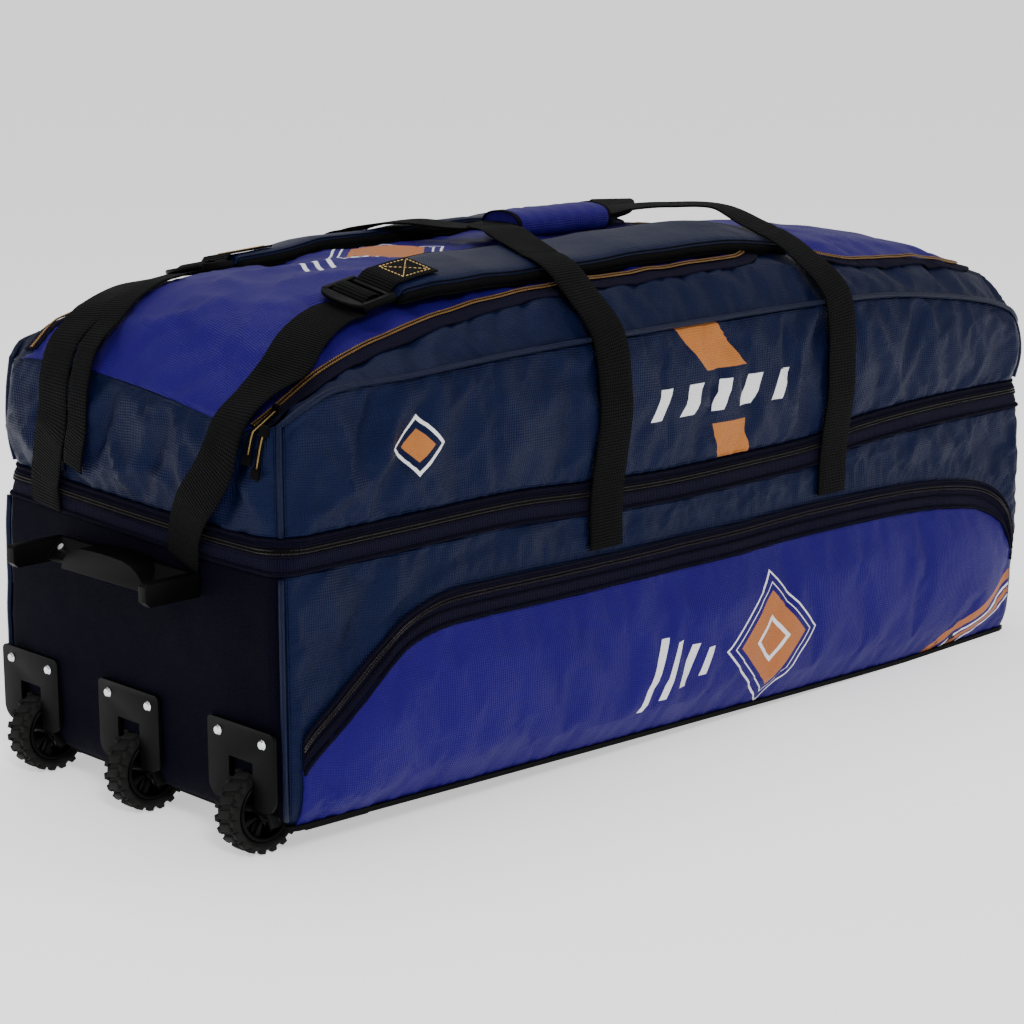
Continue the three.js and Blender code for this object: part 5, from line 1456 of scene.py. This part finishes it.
def add_box_stitch(name, stations):
    """A stitched box with a cross on a webbing tab."""
    margin = WEBBING / 2 - 5
    top = WEBBING_THICKNESS + 0.1
    first, last = stations[1], stations[-2]
    corners = []
    for (at, up, side), across in [(first, -1), (first, 1), (last, 1), (last, -1)]:
        corners.append(at + side * across * margin + up * top)
    ups = [first[1]] * 4
    verts, faces = stitch_run([*corners, corners[0]], ups)
    for a, b in [(0, 2), (1, 3)]:
        more, cells = stitch_run([corners[a], corners[b]], [first[1]])
        faces += [tuple(k + len(verts) for k in cell) for cell in cells]
        verts += more
    piece = make_mesh(f"pad_patch_{name}_stitch", verts, faces, "thread")
    settle(piece, "gold_zip")


def add_haul_straps(skins_front, skins_back):
    """The haul straps: up one wall, over the shoulder, through the wrap and down again."""
    for name, side, skins in [("near", -1, skins_front), ("far", 1, skins_back)]:
        level = STRAPS_APART if side < 0 else -STRAPS_APART - WEBBING_THICKNESS
        wall = HALF_WIDTH - 3

        def leg(x, z, lift=0.0):
            return row(x, side * wall, z, (0, side, 0), lift)

        def free(x, y, z):
            return row(x, y, z + level, (0, 0, 1), 0.0, 0.0)

        knee = EDGE_HEIGHT * 1.05
        heights = [(EDGE_HEIGHT - 12, 1.0), (300, 1.5), (260, 1.5), (225, 0.5), (HAUL_FOOT, 0.5)]
        route = [leg(HAUL_LEFT, z, lift) for z, lift in reversed(heights)]
        route += [
            row(HAUL_LEFT - 6, side * (HALF_WIDTH - 12), knee, (0, side * 0.7, 0.7), 1.0),
            top_row(HAUL_LEFT - 9, side * (LID_HALF_WIDTH - 2)),
            top_row(HAUL_LEFT - 7, side * (PAD_ACROSS + 8)),
            free(HAUL_LEFT + 10, side * 56, WRAP_HEIGHT - 1),
            free(WRAP_START - 24, side * 14 + WRAP_ACROSS, WRAP_HEIGHT + 1),
            free(WRAP_START - 5, side + WRAP_ACROSS, WRAP_HEIGHT),
            free(WRAP_START, WRAP_ACROSS, WRAP_HEIGHT),
            free((WRAP_START + WRAP_END) / 2, WRAP_ACROSS, WRAP_HEIGHT),
            free(WRAP_END, WRAP_ACROSS, WRAP_HEIGHT),
            free(WRAP_END + 5, side + WRAP_ACROSS, WRAP_HEIGHT),
            free(WRAP_END + 28, side * 8 + WRAP_ACROSS, WRAP_HEIGHT + 3 + level / 2),
            free(WRAP_END + 62, side * 32, WRAP_HEIGHT + 5 + level / 2),
            free(HAUL_RIGHT - 28, side * 66, WRAP_HEIGHT + 2),
            top_row(HAUL_RIGHT - 18, side * (PAD_ACROSS + 8)),
            top_row(HAUL_RIGHT - 12, side * (LID_HALF_WIDTH - 2)),
            row(HAUL_RIGHT - 6, side * (HALF_WIDTH - 12), knee, (0, side * 0.7, 0.7), 1.0),
        ]
        route += [leg(HAUL_RIGHT, z, lift) for z, lift in heights]
        stations = seat_route(route, WEBBING, skins)
        section = band_section(WEBBING, WEBBING_THICKNESS)
        strap = sweep(f"haul_strap_{name}_webbing", stations, section, "webbing")
        settle(strap, "black_webbing", f"haul_strap_{name}")


def rounded_box(angle, width, thickness):
    """A point of the wrap's section, across and up: an ellipse drawn out towards its corners."""
    across = math.copysign(abs(math.cos(angle)) ** 0.78, math.cos(angle)) * width
    rise = math.copysign(abs(math.sin(angle)) ** 0.82, math.sin(angle)) * thickness
    return across, rise


def add_grip_wrap():
    """The padded wrap round both haul straps: a rolled cushion with a seam flap."""
    half = (WRAP_END - WRAP_START) / 2 - 3
    middle = (WRAP_START + WRAP_END) / 2
    rings = 34
    count = 40
    points = []
    uvs = []
    for i in range(rings + 1):
        along = mix(-1, 1, i / rings)
        swell = (1 - abs(along) ** 6) ** 0.3 if abs(along) < 1 else 0.0
        puff = 0.86 + 0.14 * swell + 0.012 * math.sin(along * 21)
        for k in range(count):
            across, rise = rounded_box(2 * math.pi * k / count, WRAP_WIDTH / 2, WRAP_THICKNESS / 2)
            slack = 0.5 * noise.noise(Vector((i * 0.35, k * 0.3, 5)))
            y, z = WRAP_ACROSS + across * puff + slack, WRAP_HEIGHT + rise * puff + slack
            points.append((middle + along * half, y, z))
            uvs.append((along * half / 1000, k * 0.003))
    faces = ring_faces(rings + 1, count)
    inner = len(points)
    for i in (0, rings):
        for k in range(count):
            x, y, z = points[i * count + k]
            points.append((x, mix(WRAP_ACROSS, y, 0.84), mix(WRAP_HEIGHT, z, 0.3)))
            uvs.append((0, k * 0.003))
    for end, i in enumerate((0, rings)):
        for k in range(count):
            a, b = i * count + k, i * count + (k + 1) % count
            c, d = inner + end * count + (k + 1) % count, inner + end * count + k
            faces.append((b, a, d, c) if end == 0 else (a, b, c, d))
        ring = tuple(inner + end * count + k for k in range(count))
        faces.append(ring[::-1] if end == 1 else ring)
    wrap = make_mesh("grip_wrap_cover", points, faces, "royal", uvs)
    settle(wrap, "royal_cloth", "grip_wrap")
    for name, x in [("start", -half + 1.5), ("end", half - 1.5)]:
        ring = []
        for k in range(41):
            across, rise = rounded_box(2 * math.pi * k / 40, WRAP_WIDTH / 2 * 0.9, WRAP_THICKNESS / 2 * 0.9)
            at = Vector((middle + x, WRAP_ACROSS + across, WRAP_HEIGHT + rise))
            up = Vector((0, across, rise)).normalized()
            ring.append((at, up, up.cross(Vector((0, -up.z, up.y)))))
        bound = sweep(f"grip_wrap_{name}_binding", ring, band_section(5, 1.6), "binding", caps=False)
        settle(bound, "black_webbing")


def add_shoulder_webs(skins):
    """The adjusting webbing from the buckles over the wheel end, and the free tail."""
    start = PAD_START - 31
    lower = SEAM_HEIGHT - BAND_BELOW
    webs = [
        ("shoulder_web_near", WEBBING, -128,
         [
             (start, -PAD_ACROSS - 1), (start - 30, -PAD_ACROSS - 7), (start - 60, -PAD_ACROSS - 16),
             (-420, -125),
         ],
         [(-124, 303), (-112, 283), (-95, 262), (-80, lower + 20), (-70, HANDLE_TOP + 6)]),
        ("shoulder_web_far", WEBBING, 80,
         [(start, PAD_ACROSS), (start - 30, PAD_ACROSS + 1), (start - 60, PAD_ACROSS - 2), (-428, 88)],
         [(83, 303), (91, 285), (99, 265), (105, lower + 30), (108, lower + 8)]),
        ("strap_tail_far", TAIL_WIDTH, 46,
         [(start - 40, PAD_ACROSS - 36), (start - 68, PAD_ACROSS - 40), (-428, 52)],
         [(48, 303), (53, 290), (57, 278), (60, 268)]),
    ]
    for name, width, shoulder, top, end in webs:
        rows = [top_row(x, y, 1.0) for x, y in top]
        over, edge = mix(top[-1][1], shoulder, 0.7), 12 - HALF_LENGTH
        rows.append(row(edge + 12, over, top_height(edge + 12, over), (-0.35, 0, 0.93), 1.0))
        rows.append(row(edge - 7, shoulder, top_height(edge, shoulder) - 6, (-0.82, 0, 0.57), 1.0))
        rows += [row(-HALF_LENGTH, y, z, (-1, 0, 0), 0.8) for y, z in end]
        stations = seat_route(rows, width, skins, taut=70)
        web = sweep(f"{name}_strap", stations, band_section(width, WEBBING_THICKNESS), "webbing")
        settle(web, "black_webbing", name)


# Buckles and zip pulls


def prism(name, outline, low, high, place, look):
    """A slab over an outline of forward and side places, in a frame given by place."""
    count = len(outline)
    points = [place(forward, across, low) for forward, across in outline]
    points += [place(forward, across, high) for forward, across in outline]
    return make_mesh(name, points, end_faces(2, count) + ring_faces(2, count), look)


def add_buckle(name, across, skins):
    """A ladder-lock buckle: two rails, two bars and a round lip, with webbing over the middle bar."""
    middle = PAD_START - 3 - BUCKLE_LENGTH / 2
    half, reach, rail = BUCKLE_LENGTH / 2, BUCKLE_REACH, BUCKLE_RAIL
    rows = [top_row(middle + half, across), top_row(middle - half, across)]
    stations = seat_route(rows, 2 * reach, skins, 0.3)
    first, last = stations[0][0], stations[-1][0]
    forward = (last - first).normalized()
    up = stations[len(stations) // 2][1]
    up = (up - forward * up.dot(forward)).normalized()
    side = up.cross(forward)
    lowest = max((station[0] - (first + last) / 2).dot(up) for station in stations)
    centre = (first + last) / 2 + up * (lowest + 0.2)

    def place(along, out, rise):
        return centre + forward * along + side * out + up * rise

    lip = [(LIP_START, -reach)]
    for k in range(-8, 9):
        turn = math.pi / 2 * k / 8
        lip.append((LIP_START + LIP_LENGTH * math.cos(turn), reach * math.sin(turn)))
    lip.append((LIP_START, reach))

    def oblong(x0, y0, x1, y1):
        return [(x0, y0), (x1, y0), (x1, y1), (x0, y1)]

    slabs = [
        (oblong(-half, -reach, RAIL_END, rail - reach), 0, BUCKLE_HEIGHT),
        (oblong(-half, reach - rail, RAIL_END, reach), 0, BUCKLE_HEIGHT),
        (oblong(-half, 1 - reach, -half + 6, reach - 1), 0.8, 6),
        (oblong(-5, 1 - reach, 3, reach - 1), 2.6, 6.4), (lip, 3.2, 6.6),
    ]
    title = f"buckle_{name}_moulding"
    parts = [prism(title, outline, low, high, place, "plastic") for outline, low, high in slabs]
    buckle = rounded(joined(title, parts), 1.1)
    settle(buckle, "black_plastic", f"buckle_{name}")
    path = [
        (9, 1.0), (7.4, 3.4), (5.2, 6.2), (2.4, 7.6), (-1, 8), (-4.4, 7.6), (-7.2, 6.2), (-9.2, 3.4),
        (-11, 1.0),
    ]
    loop = []
    for k, (along, rise) in enumerate(path):
        before, after = path[max(0, k - 1)], path[min(len(path) - 1, k + 1)]
        tangent = (forward * (after[0] - before[0]) + up * (after[1] - before[1])).normalized()
        loop.append((place(along, 0, rise), side.cross(tangent), side))
    turn = sweep(f"buckle_{name}_webbing", loop, band_section(WEBBING - 1, 1.4), "webbing")
    settle(turn, "black_webbing")


def add_pull(name, start, end, skins):
    """A cord loop with a gold thread in it, a slider above and a moulded tip below."""
    rows = [row(-HALF_LENGTH + 3, *start, (-1, -0.4, 0)), row(-HALF_LENGTH + 2, *end, (-1, -0.4, 0))]
    stations = seat_route(rows, 4, skins, 0.3, cell=3)
    parts = []
    for across in (-1.5, 1.5):
        parts.append(sweep("strand", shifted(stations, across, 0.6), band_section(1.8, 1.6), "binding"))
    for at, up, side in (stations[0], stations[-1]):
        along = side.cross(up)

        def place(forward, out, rise, at=at, up=up, side=side, along=along):
            return at + along * forward + side * out + up * rise

        outline = [(-4, -3), (4, -3.6), (4, 3.6), (-4, 3)]
        parts.append(prism("end", outline, 0.2, 3.4, place, "binding"))
    pull = rounded(joined(f"{name}_cord", parts), 0.5)
    settle(pull, "dark_steel", name)
    gold = sweep(f"{name}_thread", shifted(stations, 0, 0.9), band_section(1.0, 1.0), "thread")
    settle(gold, "gold_zip")


def add_pulls(skins):
    corner = -HALF_WIDTH + UPPER_CORNER
    add_pull("main_zip_pull", (corner - 6, EDGE_HEIGHT - 22), (corner + 2, EDGE_HEIGHT - 52), skins)
    add_pull("main_zip_pull_spare", (corner - 14, EDGE_HEIGHT - 30), (corner - 6, EDGE_HEIGHT - 62), skins)


# Hard pieces


def rounded(piece, width, segments=2, angle=30):
    """Rounds the edges that are sharper than an angle."""
    bevel = piece.modifiers.new("rounding", "BEVEL")
    bevel.width = width / 1000
    bevel.segments = segments
    bevel.limit_method = "ANGLE"
    bevel.angle_limit = math.radians(angle)
    return piece


def softened(node, look, slot, width):
    """A copy of a frame node with its flat faces joined and its edges rounded."""
    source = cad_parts[node]
    work = bmesh.new()
    work.from_mesh(source.data)
    bmesh.ops.remove_doubles(work, verts=work.verts, dist=1e-6)
    bmesh.ops.dissolve_limit(work, angle_limit=math.radians(1.5), verts=work.verts, edges=work.edges)
    mesh = bpy.data.meshes.new(f"{node}_moulding")
    work.to_mesh(mesh)
    work.free()
    mesh.materials.append(LOOKS[look])
    make_smooth(mesh)
    made = rounded(placed(f"{node}_moulding", mesh), width, segments=3, angle=35)
    made.modifiers["rounding"].harden_normals = True
    settle(made, slot, node)


def add_hard_pieces():
    """Rounded mouldings for the brackets and the handle, and finishes for the rest."""
    for name in ("near", "mid", "far"):
        softened(f"wheel_bracket_{name}", "plastic", "black_plastic", 0.8)
    softened("end_handle", "plastic", "black_plastic", 1.8)
    for node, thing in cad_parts.items():
        look = None
        if node.startswith("rivet") or node == "end_handle_screw":
            look = "chrome"
        elif node.startswith("axle"):
            look = "steel"
        elif node == "bottom_board":
            look = "board"
        if look is not None:
            thing.data.materials.clear()
            thing.data.materials.append(LOOKS[look])


def turn_about(centre, angle, radius, across):
    return centre + Vector((radius * math.cos(angle), across, radius * math.sin(angle)))


def lathe(name, centre, profile, count, look):
    """A ring about a wheel's axle from radius and across places that close on themselves."""
    size = len(profile)
    points = []
    uvs = []
    for k in range(count):
        angle = 2 * math.pi * k / count
        for radius, across in profile:
            points.append(turn_about(centre, angle, radius, across))
            uvs.append((angle * radius / 1000, across / 1000))
    faces = []
    for k in range(count):
        for j in range(size):
            a, b = k * size + j, k * size + (j + 1) % size
            c, d = ((k + 1) % count) * size + (j + 1) % size, ((k + 1) % count) * size + j
            faces.append((a, b, c, d))
    return make_mesh(name, points, faces, look, uvs)


def joined(name, parts):
    """Joins several objects of one look into the first."""
    work = bmesh.new()
    for part in parts:
        work.from_mesh(part.data)
    for part in parts[1:]:
        bpy.data.objects.remove(part)
    work.to_mesh(parts[0].data)
    work.free()
    parts[0].name = name
    make_smooth(parts[0].data)
    return parts[0]


def block(name, centre, angle, inner, outer, low, high, spread, skew, look):
    """A tapered block standing on a wheel's ring."""
    points = []
    for radius, share in [(inner, 1.0), (outer, 0.78)]:
        for across, lean in [(low, -skew), (high, skew)]:
            edge = mix((low + high) / 2, across, 1.0 if share > 0.9 else 0.86)
            for side in (-1, 1):
                points.append(turn_about(centre, angle + lean + side * spread * share, radius, edge))
    faces = [(0, 1, 3, 2), (4, 6, 7, 5), (0, 4, 5, 1), (2, 3, 7, 6), (0, 2, 6, 4), (1, 5, 7, 3)]
    return make_mesh(name, points, faces, look)


def add_wheel(name):
    """A knobbly tyre on a spoked rim."""
    low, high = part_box(f"tyre_{name}")
    centre = ((low + high) / 2 - ORIGIN) * 1000
    half = WHEEL_WIDTH / 2
    groove = WHEEL_RADIUS - TREAD_DEPTH
    carcass = [
        (RIM_RADIUS + 0.3, -half + 3), (RIM_RADIUS + 2.5, -half + 0.6), (groove - 2.5, -half + 0.2),
        (groove - 0.4, -half + 2.5), (groove, -half / 3), (groove, half / 3), (groove - 0.4, half - 2.5),
        (groove - 2.5, half - 0.2), (RIM_RADIUS + 2.5, half - 0.6), (RIM_RADIUS + 0.3, half - 3),
    ]
    parts = [lathe(f"tyre_{name}_knobbly", centre, carcass, 72, "rubber")]
    pitch = 2 * math.pi / TREAD_BLOCKS
    for k in range(TREAD_BLOCKS):
        angle = -math.pi / 2 + k * pitch
        parts.append(block(
            "tread", centre, angle, groove - 1, WHEEL_RADIUS, 5 - half, half - 5,
            pitch * 0.36, 0.05, "rubber",
        ))
        for side in (-1, 1):
            low_edge, high_edge = sorted((side * (half - 5.5), side * (half - 0.2)))
            parts.append(block(
                "tread", centre, angle + pitch / 2, groove - 4, WHEEL_RADIUS - 0.7, low_edge, high_edge,
                pitch * 0.3, 0, "rubber",
            ))
    tyre = rounded(joined(f"tyre_{name}_knobbly", parts), 0.5)
    settle(tyre, "tyre_rubber", f"tyre_{name}", body=f"wheel_{name}")
    add_rim(name, centre, half)


def add_rim(name, centre, half):
    """The rim, its eight spokes and the hub's cap."""
    rim = [
        (RIM_RADIUS, -half + 2.4), (RIM_RADIUS, half - 2.4), (RIM_RADIUS - 1.2, half - 1.4),
        (RIM_RADIUS - 3.4, half - 2), (RIM_RADIUS - 3.8, half - 4), (RIM_RADIUS - 3.8, -half + 4),
        (RIM_RADIUS - 3.4, -half + 2), (RIM_RADIUS - 1.2, -half + 1.4),
    ]
    hub = [
        (4.3, -half + 0.5), (4.3, half - 0.5), (7.4, half - 0.5), (8.4, half - 1.6), (8.8, half - 5),
        (8.8, -half + 5), (8.4, -half + 1.6), (7.4, -half + 0.5),
    ]
    parts = [
        lathe(f"wheel_hub_{name}_spoked", centre, rim[::-1], 56, "plastic"),
        lathe("hub", centre, hub[::-1], 32, "plastic"),
    ]
    for k in range(SPOKES):
        angle = 2 * math.pi * (k + 0.5) / SPOKES
        for side in (-1, 1):
            low_edge, high_edge = sorted((side * 1.0, side * (half - 4.5)))
            parts.append(block(
                "spoke", centre, angle, 8, RIM_RADIUS - 3, low_edge, high_edge, 0.16, 0, "plastic",
            ))
    spoked = rounded(joined(f"wheel_hub_{name}_spoked", parts), 0.4)
    settle(spoked, "black_plastic", f"wheel_hub_{name}", body=f"wheel_{name}")


# Setting


def add_stage():
    mesh = bpy.data.meshes.new("floor")
    corners = [(x * FLOOR_REACH, y * FLOOR_REACH, 0) for x, y in [(-1, -1), (1, -1), (1, 1), (-1, 1)]]
    mesh.from_pydata(corners, [], [(0, 1, 2, 3)])
    shader = Shader("studio_floor")
    place, _ = shader.axes("Object")
    tone = shader.noise(place, 3.0)
    shader.set("Base Color", shader.blend(tone, (0.93, 0.93, 0.93, 1), (0.97, 0.97, 0.97, 1)))
    shader.set("Roughness", 0.7)
    shader.set("Emission Color", (1, 1, 1, 1))
    shader.set("Emission Strength", 0.7)
    mesh.materials.append(shader.material)
    placed("floor", mesh)


def aim(thing, direction):
    """Turns a lamp or the camera to look along a direction."""
    thing.rotation_mode = "QUATERNION"
    thing.rotation_quaternion = direction.to_track_quat("-Z", "Y")


def add_lights():
    """Soft disks of light round the bag, and a white world."""
    for lamp in LAMPS:
        data = bpy.data.lights.new(lamp.name, "AREA")
        data.shape = "DISK"
        data.size = lamp.size
        data.energy = lamp.power
        made = placed(lamp.name, data)
        made.location = lamp.place
        aim(made, Vector((0, 0, LAMP_TARGET)) - Vector(lamp.place))
    world = bpy.data.worlds.new("studio")
    world.use_nodes = True
    world.node_tree.nodes["Background"].inputs["Color"].default_value = (1, 1, 1, 1)
    world.node_tree.nodes["Background"].inputs["Strength"].default_value = WORLD_LIGHT
    bpy.context.scene.world = world


def add_camera():
    azimuth, elevation = math.radians(CAMERA_AZIMUTH), math.radians(CAMERA_ELEVATION)
    level = math.cos(elevation)
    back = Vector((math.sin(azimuth) * level, -math.cos(azimuth) * level, math.sin(elevation)))
    data = bpy.data.cameras.new("photo_view")
    data.sensor_width = 36
    data.lens = CAMERA_LENS
    camera = placed("photo_view", data)
    camera.location = to_frame(CAMERA_PLACE)
    aim(camera, -back)
    bpy.context.scene.camera = camera


def dress():
    """Makes every piece, cloth first, because the bands and straps lie on it."""
    walls = add_walls()
    hold_behind_pocket(walls["lower_front"])
    top = add_top()
    pocket = grid_mesh("pocket_panel_cloth", pocket_grid(), "royal_print")
    loose = [name for name in walls if name != "lower_wheel_end"]
    sheets = [(walls[name], 0.7, 0.03) for name in loose]
    sheets.append((top, 0.5, 0.02))
    sheets.append((pocket, 0.7, 0.012))
    settle_cloth(sheets)
    for side, name in enumerate(["front", "far_end", "back", "wheel_end"]):
        crumple(walls[f"upper_{name}"], upper_low, upper_high, UPPER_CREASES)
        if name in ("far_end", "back"):
            crumple(walls[f"lower_{name}"], lower_low, lower_high, LOWER_CREASES)
    crumple(top, lambda point: -1000, lambda point: point.z + zip_room(point), TOP_CREASES)
    skin = {name: skin_of([piece]) for name, piece in walls.items()}
    top_skin = skin_of([top])
    for name, piece in walls.items():
        thicken(piece, CLOTH)
        settle(piece, "end_cloth" if name == "lower_wheel_end" else "navy_cloth", name)
    thicken(pocket, CLOTH)
    settle(pocket, "royal_cloth", "pocket_panel")
    split_top(top)
    add_mid_band()
    add_pocket()
    add_piping()
    add_lid_zips([top_skin])
    bands = skin_of([bpy.data.objects["mid_zip_coil"], bpy.data.objects["mid_band_tape"]])
    zips = skin_of([bpy.data.objects["main_zip_coil"], bpy.data.objects["main_zip_tape"]])
    cords = skin_of([bpy.data.objects["upper_front_piping"], bpy.data.objects["upper_back_piping"]])
    pads = add_pads([top_skin, zips])
    shared = [top_skin, zips, cords, bands]
    near_ground = [*shared, skin["upper_front"], skin["lower_front"], skin_of([pads["near"]])]
    far_ground = [*shared, skin["upper_back"], skin["lower_back"], skin_of([pads["far"]])]
    add_haul_straps(near_ground, far_ground)
    add_grip_wrap()
    end_ground = [top_skin, zips, bands, skin["upper_wheel_end"], skin["lower_wheel_end"]]
    add_shoulder_webs(end_ground)
    add_pulls([top_skin, skin["upper_wheel_end"]])
    for name, side in [("near", -1), ("far", 1)]:
        add_buckle(name, side * PAD_ACROSS, [top_skin, zips])
    add_hard_pieces()
    for name in ("near", "mid", "far"):
        add_wheel(name)


dress()
add_stage()
add_lights()
add_camera()
